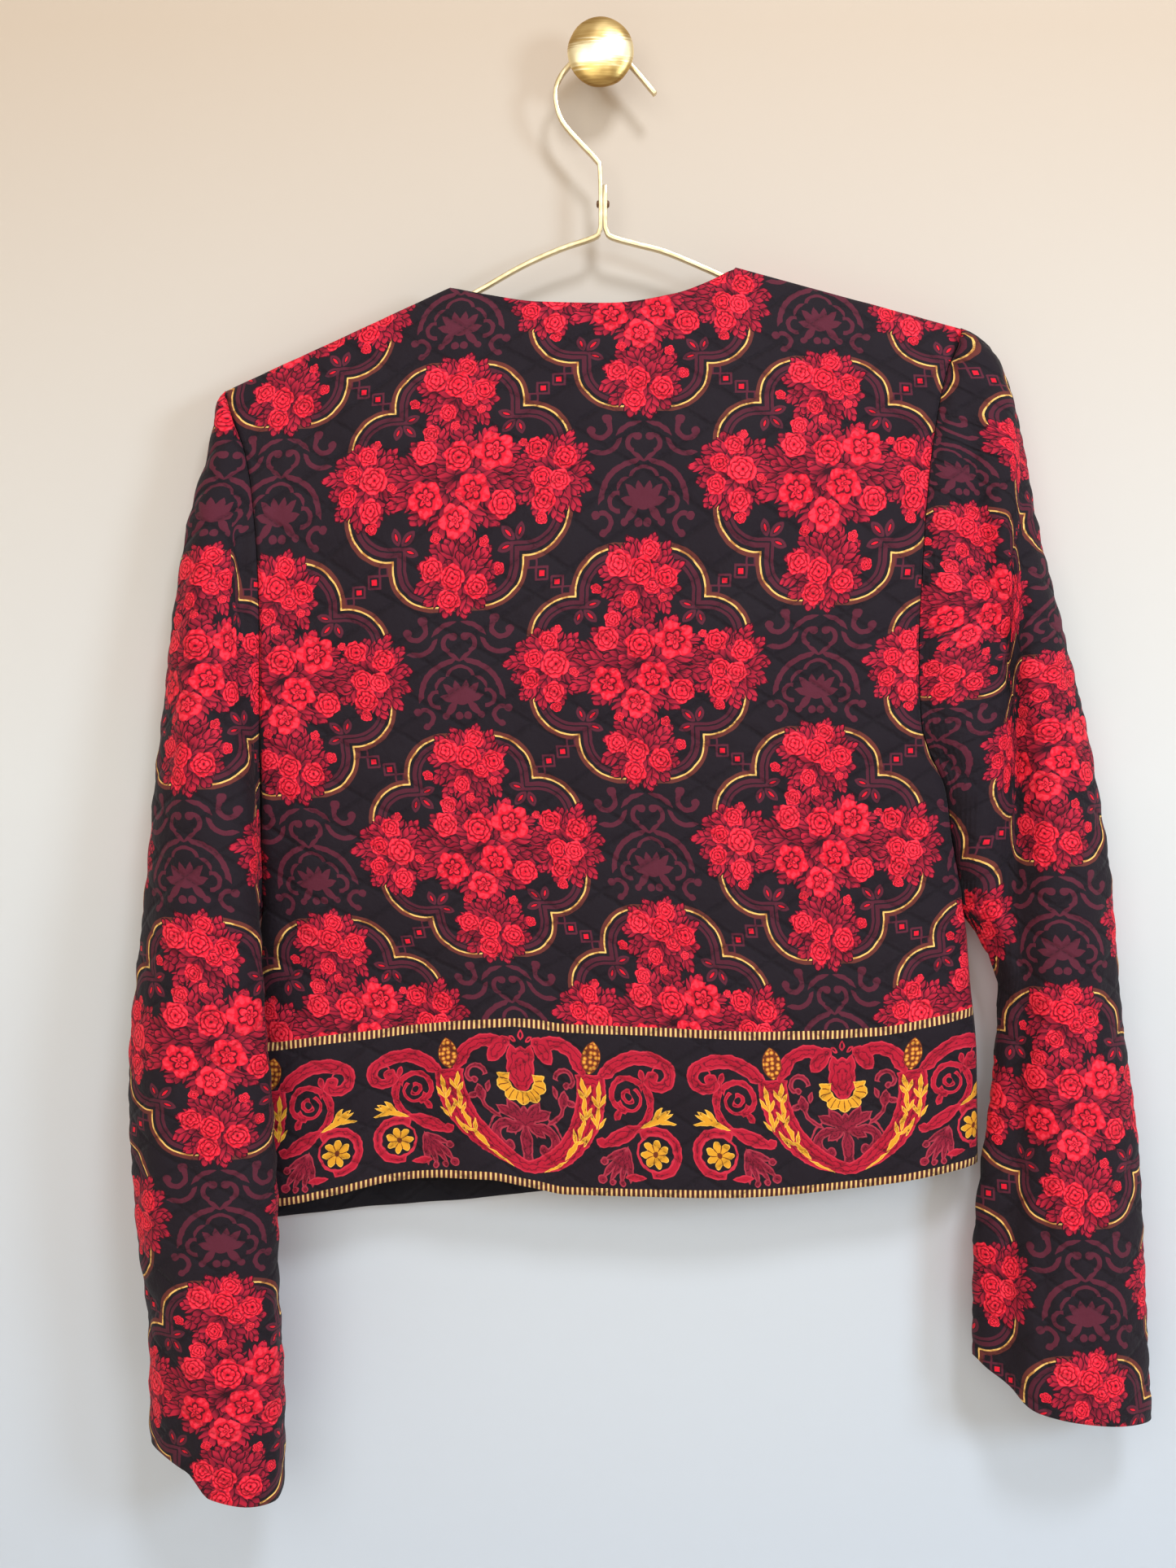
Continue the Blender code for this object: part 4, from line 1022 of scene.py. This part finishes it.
def quiltedPiece(name, grids, calm, creased, loose, isTurned, isTube):
    base, normals, u, v = grids
    rise = quiltRise(u, v, cloth["puff"]) * calm + creased
    rise += looseness(base, cloth["tubeSlack" if isTube else "panelSlack"], loose) * calm
    if isTube:
        rise[:, -1] = rise[:, 0]
    points = base + normals * (cloth["wall"] + rise)[..., None]
    if isTurned:
        points, u, v = (grid[:, ::-1] for grid in (points, u, v))
    return clothGrid(name, points, u, v, isTube)


def makePanel(name, side, start, end, values):
    place = torsoPlaces(start, end)
    hem = backHem if side < 0 else frontHem
    across = torsoAcross(place, np.full_like(place, -600.0))
    waves = smooth(hem, 1, across) - cloth["hemLevel"]
    bandWaves = smooth(bandLine, 1, across) if side < 0 else waves * cloth["frontWaves"]
    sag = cloth["sag"] * np.minimum(across, 0.0)
    top = torsoTop(side, place)
    split = cloth["upper"] - cloth["hemLevel"]
    spans = ((0.0, cloth["band"]), (cloth["band"], split))
    low = np.concatenate([between(*span, cloth["spacing"]) for span in spans])
    count = round(cloth["upperLength"] / cloth["spacing"])
    share = 1 - (1 - np.linspace(0, 1, count + 1)) ** cloth["gathered"]
    v = low[:, None]
    shift = waves + (bandWaves - waves) * eased(np.clip(v / cloth["band"], 0, 1))
    overBand = np.clip((v - cloth["band"]) / (cloth["hemFade"] - cloth["band"]), 0, 1)
    shift = shift + (sag - shift) * eased(overBand)
    upperRows = cloth["upper"] + sag + (top - cloth["upper"] - sag) * share[:, None]
    height = np.concatenate([cloth["hemLevel"] + v + shift, upperRows])
    spread = np.broadcast_to(place, height.shape)
    base = torsoPoint(side, spread, height)
    # the cloth's own coordinates: lengths along it from its middle and up from the hem
    steps = np.linalg.norm(np.diff(base, axis=1), axis=2)
    fromLeft = np.concatenate([np.zeros((len(base), 1)), np.cumsum(steps, 1)], 1)
    middle = np.array([np.interp(0.0, *line) for line in zip(base[:, :, 0], fromLeft)])
    u = fromLeft - middle[:, None]
    rises = np.linalg.norm(np.diff(base[len(low):], axis=0), axis=2)
    v = np.zeros_like(u)
    v[: len(low)] = low[:, None]
    v[len(low)] = split
    v[len(low) + 1:] = split + np.cumsum(rises, 0)
    # above its middle the print runs a little wider and higher
    v = v - np.interp(v, *repeat["rise"])
    spreading = repeat["spread"] * np.clip((v - repeat["spreadLevel"]) / 100.0, 0, 1)
    u = u - (u - repeat["spreadMiddle"]) * spreading
    if side > 0:
        u = -u + values["turn"]
    normals = gridNormals(base) * -side
    # the cloth turns into the armhole, side and shoulder seams
    fromSide = np.full_like(fromLeft, 1e3)
    left = (start == 0.0, fromLeft, ridge[0, 1], -1)
    right = (end == 1.0, fromLeft[:, -1:] - fromLeft, ridge[-1, 1], 1)
    for isSeam, away, tip, across in (left, right):
        if isSeam:
            edge = seamNormal(height, tip, across, side)
            pull = np.clip(1 - away / cloth["seamEase"], 0, 1)[..., None]
            normals = unit(normals * (1 - pull) + edge * pull)
            fromSide = np.minimum(fromSide, away)
    topEdge = np.abs(height[-1] - ridgeHeight(base[-1, :, 0])) < 0.5
    normals[-1, topEdge] = (0.0, 0.0, 1.0)
    calm = np.clip(fromSide / cloth["calmSeam"], 0, 1) * np.clip((top - height) / cloth["calmTop"], 0, 1)
    calm = calm * np.clip(v / cloth["calmHem"], 0, 1)
    creased = creaseRise(base, np.full_like(u, -side), values["creases"])
    creased = creased * np.clip(fromSide / cloth["creaseFade"], 0, 1)
    return quiltedPiece(name, (base, normals, u, v), calm, creased, values["loose"], side > 0, False)


back = {
    "loose": 1.0,
    "creases": [
        (-1, -150, -225, 44, 8, 52, -1.3), (-1, -128, -262, 40, 9, 58, -0.9),
        (-1, -178, -300, 52, 7, 6, -1.6), (-1, 158, -214, 36, 7, -50, -1.3),
        (-1, 166, -262, 30, 6, -62, -1.1), (-1, 164, -330, 60, 8, -8, -1.4),
        (-1, 172, -398, 26, 6, -64, -1.5), (-1, -38, -612, 34, 7, 14, -1.6),
        (-1, 96, -470, 90, 12, 4, -1.2), (-1, -140, -540, 80, 10, -6, -1.4),
        (-1, 10, -300, 110, 13, -7, -0.8), (-1, -176, -470, 60, 8, 4, -1.6),
        (-1, 150, -590, 46, 9, 8, -1.4), (-1, 60, -180, 34, 7, -66, -0.8),
    ],
}
backPiece = makePanel("back_cloth", -1, 0.0, 1.0, back)
standFor(backPiece, "back")
print("back made")

front = {
    "turn": -4.0,         # moves the print sideways
    "loose": 0.8,
    "creases": [
        (1, -150, -240, 44, 8, 50, -1.2), (1, 150, -230, 40, 8, -52, -1.2),
        (1, -120, -450, 90, 11, 6, -1.3), (1, 120, -480, 90, 11, -5, -1.3),
        (1, -160, -570, 60, 9, -6, -1.4), (1, 160, -590, 50, 9, 6, -1.4),
        (1, -60, -590, 40, 8, 10, -1.2), (1, 56, -360, 70, 11, 8, -1),
    ],
}
halfGap = cloth["seamGap"] / 2 / (ridge[-1, 0] - ridge[0, 0])
for name, start, end in (("front_left", 0.0, 0.5 - halfGap), ("front_right", 0.5 + halfGap, 1.0)):
    piece = makePanel(name + "_cloth", 1, start, end, front)
    standFor(piece, name)
print("fronts made")


def makeSleeve(name, side, rings, cuff, values):
    tip = ridge[0, 1] if side < 0 else ridge[-1, 1]
    count = round(cloth["sleeveGirth"] / cloth["spacing"])
    place = np.linspace(0, 1, count + 1)
    top = tip - (1 - 2 * np.minimum(place, 1 - place)) ** 2 * (tip - cloth["underarm"])
    bottom = smooth(cuff, 1, place)
    rows = round(cloth["sleeveLength"] / cloth["spacing"])
    share = np.linspace(0, 1, rows + 1)[:, None]
    height = bottom + (top - bottom) * share
    spread = np.broadcast_to(place, height.shape)
    base, fromOuter, fromSeam = sleevePoint(rings, side, spread, height)
    base[:, -1] = base[:, 0]
    column, taken, along = (smooth(values["print"], index, height) for index in (1, 2, 3))
    inFold = np.clip(side * (values["fold"] - base[..., 0]) / cloth["foldEase"] + 0.5, 0, 1)
    fold = eased(inFold * (spread <= 0.5))
    column = column + fromOuter - taken * fold
    u = side * column * (repeat["acrossCloth"] / repeat["width"]) + repeat["middle"]
    v = along * (repeat["upCloth"] / repeat["half"]) + repeat["sleeveLevel"]
    normals = gridNormals(base) * side
    wrapped = unit(normals[:, :1] + normals[:, -1:])
    normals[:, :1] = wrapped
    normals[:, -1:] = wrapped
    edges = [seamNormal(height, tip, side, near) for near in (-1.0, 1.0)]
    edge = np.where((spread < 0.5)[..., None], *edges)
    isHead = height > cloth["underarm"]
    pull = np.where(isHead, np.clip(1 - fromSeam / cloth["seamEase"], 0, 1), 0.0)[..., None]
    normals = unit(normals * (1 - pull) + edge * pull)
    normals[-1] = edge[-1]
    normals[-1, 0] = normals[-1, -1] = (0.0, 0.0, -1.0)
    calm = np.where(isHead, np.clip(fromSeam / cloth["calmSeam"], 0, 1), 1.0)
    calm = calm * np.clip((height - bottom) / cloth["calmCuff"], 0, 1)
    calm = calm * np.clip((top - height) / cloth["calmSeam"], 0, 1)
    calm = calm * (1 - 3.6 * fold * (1 - fold) * np.clip(taken / 10.0, 0, 1))
    creased = creaseRise(base, -normals[..., 1], values["creases"]) * calm
    return quiltedPiece(name, (base, normals, u, v), calm, creased, values["loose"], side < 0, True)


sleeves = {
    "left": {
        "fold": -206.0,      # place across of the long fold
        # rows of the print: height, column in from the outer edge, what the fold takes up, place along
        "print": np.array([
            (-830, 60, 0, -501), (-742, 62.7, 0, -408), (-689, 64.2, 0, -350), (-649, 67.5, 0, -307),
            (-598, 66.5, 0, -252), (-552, 62.5, 0, -202), (-503, 51.9, 0, -153), (-454, 39.7, 0, -104),
            (-404, 36.4, 0, -54), (-348, 30.6, 8, 2), (-292, 23.4, 14, 59), (-250, 22.7, 0, 102),
            (-190, 20, 0, 163), (-150, 18, 0, 204),
        ]),
        "loose": 1.0,
        "creases": [
            (-1, -199.6, -298, 84, 4.4, 0, -3), (-1, -228, -748, 46, 6.5, 8.7, -2.4),
            (-1, -214, -470, 30, 6, 62, -2), (-1, -208, -502, 26, 5.5, 70, -1.8),
            (-1, -232, -420, 60, 8, 12, -1.4), (-1, -222, -610, 60, 8, -8, -1.8),
            (-1, -212, -560, 24, 6, -56, -1.5), (-1, -240, -690, 34, 6, -24, -1.4),
            (1, -226, -330, 60, 7, 6, -1.8), (1, -226, -520, 30, 6, 58, -1.8),
            (1, -230, -650, 60, 8, -6, -1.8), (1, -222, -745, 34, 6.5, 14, -1.8),
        ],
    },
    "right": {
        "fold": 232.0,
        "print": np.array([
            (-830, 48, 0, -442), (-742, 48, 0, -354), (-690, 47, 0, -302), (-592, 47.4, 0, -204),
            (-500, 45, 0, -109), (-442, 44, 12, -49), (-395, 38, 27, 0), (-344, 22, 40, 65),
            (-314, 2, 42, 102), (-288, -8, 34, 134), (-231, -26, 16, 202), (-205, -26, 0, 233),
            (-155, -26, 0, 290),
        ]),
        "loose": 1.0,
        "creases": [
            (-1, 232, -345, 118, 4.6, -1, -4.2), (-1, 225, -492, 46, 5.5, -12, -3.2),
            (-1, 206, -232, 20, 3.6, 86, -1.5), (-1, 207, -253.5, 20, 3.6, 92, -1.5),
            (-1, 206, -276, 19, 3.6, 88, -1.4), (-1, 203, -405, 19, 4.4, 52, -2.8),
            (-1, 214, -432, 16, 4.4, 34, -2), (-1, 245, -672, 76, 5, 1, -3.2),
            (-1, 262, -420, 44, 7, 16, -1.4), (-1, 272, -560, 40, 7, -14, -1.4),
            (-1, 262, -700, 40, 7, 18, -1.4), (-1, 240, -540, 24, 5.5, 60, -1.8),
            (1, 226, -330, 60, 7, -6, -1.8), (1, 250, -500, 30, 6, -60, -1.8),
            (1, 262, -640, 60, 8, 6, -1.8), (1, 256, -730, 30, 6.5, -14, -1.8),
        ],
    },
}
for name, side, rings, cuff in (("left", -1, leftRings, leftCuff), ("right", 1, rightRings, rightCuff)):
    piece = makeSleeve("sleeve_" + name + "_cloth", side, rings, cuff, sleeves[name])
    standFor(piece, "sleeve_" + name)
print("sleeves made")
strips = ["hanger_hook_strip", "hanger_arm_strip"]


# hanger and hook

metal = {
    "stripGrowth": 0.22,    # the strips look a little heavier than their solids
    "bevel": 0.3,
    "discAcross": 18.7,
    "discUp": 19.9,
    "discMiddle": 1.7,      # the disc's middle, above the post's
    "discBack": -29.0,
    "discRim": 1.5,
    "discDome": 5.6,
    "hammered": 0.28,       # how far the disc's edge wanders
    "dented": 0.16,         # and the face of its dome
}


def brushedMetal(name, dark, bright, stretch, roughness, scratch):
    material, start, shader = newMaterial(name)
    place = start.node("TexCoord", output=3)
    stretched = place.vector("MULTIPLY", stretch)
    lines = start.node("TexNoise", inputs={"Vector": stretched, "Scale": 1.0, "Detail": 4.0})
    stain = start.node("TexNoise", inputs={"Vector": place, "Scale": 70.0, "Detail": 2.0})
    tone = (lines * 0.6 + stain * 0.4).ease(0.36, 0.64)
    bump = start.node("Bump", inputs={"Strength": 1.0, "Distance": scratch * mm, "Height": lines})
    feed(shader, Base_Color=tone.blend(dark, bright), Roughness=stain * 0.2 + (roughness - 0.1),
         Normal=bump, Metallic=1.0)
    return material, lines, place, shader


def discBrassWithPaintedGlint():
    # brushed across, with painted reflection: dark at the rim and a pale glint band over the middle where
    # the room's light is reflected
    material, lines, place, shader = brushedMetal("brushed brass with painted glint", (0.5, 0.34, 0.13), (0.7, 0.5, 0.2),
                                                  (60.0, 60.0, 900.0), 0.36, 0.05)
    x = place.component(0)
    z = place.component(2)
    share = (z - x * 0.14 + 0.0185) / 0.040 + (lines - 0.5) * 0.42
    feed(shader, Base_Color=share.ramp(
        (0.02, (0.34, 0.20, 0.06)), (0.24, (0.60, 0.41, 0.14)), (0.38, (0.95, 0.84, 0.52)),
        (0.56, (0.98, 0.88, 0.58)), (0.68, (0.50, 0.33, 0.12)), (0.84, (0.68, 0.50, 0.22)),
        (1.0, (0.44, 0.29, 0.10))))
    return material


def addMetal(name, bm, material):
    bmesh.ops.recalc_face_normals(bm, faces=bm.faces)
    for face in bm.faces:
        face.smooth = True
    return addObject(name, bm, [material])


def makeStrip(node, material):
    bm = bmesh.new()
    bm.from_mesh(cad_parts[node].data)
    bmesh.ops.remove_doubles(bm, verts=bm.verts, dist=1e-5)
    bmesh.ops.recalc_face_normals(bm, faces=bm.faces)
    bm.normal_update()
    moves = [vert.normal * (vert.calc_shell_factor() * metal["stripGrowth"] * mm) for vert in bm.verts]
    for vert, move in zip(bm.verts, moves):
        vert.co += move
    sharp = math.radians(50)
    corners = [edge for edge in bm.edges if edge.is_manifold and edge.calc_face_angle() > sharp]
    bmesh.ops.bevel(bm, geom=corners, offset=metal["bevel"] * mm, offset_type="OFFSET", segments=2,
                    profile=0.5, affect="EDGES", material=-1, clamp_overlap=True)
    return addMetal(node + "_metal", bm, material)


def makeDisc(material):
    # its profile, radius as a share and depth: over the dome, round the rim and along the flat back
    bm = bmesh.new()
    steps = np.linspace(0, math.pi / 2, 22)
    front = metal["discBack"] - metal["discRim"]
    line = [(math.sin(step), front - metal["discDome"] * math.cos(step)) for step in steps]
    line += [(1.004, front + metal["discRim"] * 0.5), (0.985, metal["discBack"] - 0.1)]
    line += [(0.9, metal["discBack"]), (0.0, metal["discBack"])]
    verts = [bm.verts.new((radius, depth * mm, 0.0)) for radius, depth in line]
    profile = [bm.edges.new(pair) for pair in zip(verts, verts[1:])]
    bmesh.ops.spin(bm, geom=verts + profile, cent=(0, 0, 0), axis=(0, 1, 0), angle=2 * math.pi, steps=96,
                   use_merge=True)
    bmesh.ops.remove_doubles(bm, verts=bm.verts, dist=1e-6)
    for vert in bm.verts:
        x, y, z = vert.co
        around = math.atan2(z, x)
        spot = Vector((math.cos(around) * 2.2, math.sin(around) * 2.2, 0.4))
        wander = noise.noise(spot) * metal["hammered"]
        dent = noise.noise(Vector((x * 3.2, z * 3.2, 7.0))) * metal["dented"]
        radius = math.hypot(x, z)
        vert.co = (x * (metal["discAcross"] + wander * radius) * mm,
                   y + (dent * mm if y < front * mm else 0.0),
                   (z * (metal["discUp"] + wander * radius) + metal["discMiddle"]) * mm)
    return addMetal("hook_disc_metal", bm, material)


# name, dark and bright tone, grain by direction, roughness, depth of the scratches
stripMetal, rivetMetal, postBrass = (brushedMetal(*row)[0] for row in (
    ("champagne metal", (0.56, 0.44, 0.24), (0.74, 0.62, 0.39), (220.0, 1400.0, 220.0), 0.34, 0.03),
    ("brown rivet metal", (0.16, 0.085, 0.045), (0.26, 0.15, 0.085), (500.0, 500.0, 500.0), 0.42, 0.03),
    ("turned brass", (0.46, 0.30, 0.11), (0.60, 0.43, 0.18), (500.0, 900.0, 500.0), 0.36, 0.03),
))
for node in strips:
    standFor(makeStrip(node, stripMetal), node)
standFor(makeDisc(discBrassWithPaintedGlint()), "hook_disc")
for node, material in (("hanger_rivet", rivetMetal), ("hook_post", postBrass)):
    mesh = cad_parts[node].data
    mesh.materials.clear()
    mesh.materials.append(material)
print("hanger and hook finished")


# wall, floor, light and camera

room = {
    "wallWidth": 3.6,       # in metres
    "wallTop": 1.3,
    "floor": -1.35,
    "reach": 3.0,           # of the floor, to each side
    "aim": (0.0, 0.0, -0.4),
    "coolLevel": -0.86,
    "warmLevel": 0.03,
}


def wallWithPaintedLight():
    # painted light: cool low down and warm at the top, as the room's light tints the wall, and clear from
    # behind
    material, start, shader = newMaterial("wall with painted light")
    height = start.node("TexCoord", output=3).component(2)
    span = {"Value": height, "From Min": room["coolLevel"], "From Max": room["warmLevel"]}
    share = height.node("MapRange", inputs=span)
    colour = share.ramp((0.0, (0.535, 0.58, 0.63)), (0.5, (0.635, 0.63, 0.60)),
                        (1.0, (0.535, 0.43, 0.325)))
    feed(shader, Base_Color=colour, Roughness=0.6)
    behind = start.node("NewGeometry", output=6)
    sides = {0: behind, 1: Term(start.tree, shader.outputs[0]), 2: start.node("BsdfTransparent")}
    feed(start.tree.nodes["Material Output"], Surface=start.node("MixShader", inputs=sides))
    return material


def floorPaint():
    material, start, shader = newMaterial("pale floor")
    feed(shader, Base_Color=(0.68, 0.66, 0.65, 1.0), Roughness=0.7)
    return material


def addPlane(name, width, depth, turn, middle, material):
    bm = bmesh.new()
    bmesh.ops.create_grid(bm, x_segments=1, y_segments=1, size=0.5)
    bmesh.ops.scale(bm, vec=(width, depth, 1.0), verts=bm.verts)
    bmesh.ops.rotate(bm, cent=(0, 0, 0), matrix=Matrix.Rotation(turn, 3, "X"), verts=bm.verts)
    bmesh.ops.translate(bm, vec=(0.0, 0.0, middle), verts=bm.verts)
    plane = addObject(name, bm, [material])
    return plane


def addLight(name, place, size, power, colour):
    light = bpy.data.lights.new(name, "AREA")
    light.shape = "DISK"
    light.size = size
    light.energy = power
    light.color = colour
    lamp = bpy.data.objects.new(name, light)
    lamp.location = place
    lamp.rotation_mode = "QUATERNION"
    lamp.rotation_quaternion = (Vector(place) - Vector(room["aim"])).to_track_quat("Z", "Y")
    bpy.context.scene.collection.objects.link(lamp)


tall = room["wallTop"] - room["floor"]
wall = addPlane("wall", room["wallWidth"], tall, math.pi / 2, room["floor"] + tall / 2, wallWithPaintedLight())
wall.visible_shadow = False      # lets the far lamp light the fronts
addPlane("floor", room["reach"] * 2, room["reach"] * 2, 0.0, room["floor"], floorPaint())
for lamp in (
    ("lamp above", (0.45, -1.45, 0.95), 0.45, 18.0, (0.88, 0.96, 1.08)),
    ("window at the right", (1.35, -1.35, -0.15), 0.5, 12.0, (0.78, 1.0, 1.24)),
    ("front fill", (-0.6, -2.4, 0.1), 1.8, 22.0, (0.93, 0.98, 1.0)),
    ("lamp for the far side", (0.3, 1.9, 0.4), 1.4, 22.0, (1.0, 0.98, 0.95)),
):
    addLight(*lamp)
world = bpy.data.worlds.new("room")
world.use_nodes = True
feed(world.node_tree.nodes["Background"], Color=(1.0, 0.82, 0.62, 1.0), Strength=0.60)
bpy.context.scene.world = world
bpy.context.scene.view_settings.view_transform = "Standard"

view = {
    "place": (-0.0071, -0.985, -0.4141),
    "focal": 2066.0,      # in pixels of the 1445 by 1927 picture
    "width": 1445,
    "height": 1927,
}
cameraData = bpy.data.cameras.new("camera")
camera = bpy.data.objects.new("camera", cameraData)
cameraData.sensor_fit = "AUTO"
cameraData.sensor_width = 36.0
cameraData.lens = 36.0 * view["focal"] / max(view["width"], view["height"])
camera.location = view["place"]
camera.rotation_euler = (math.pi / 2, 0.0, 0.0)
bpy.context.scene.collection.objects.link(camera)
bpy.context.scene.camera = camera
print("camera and light placed")
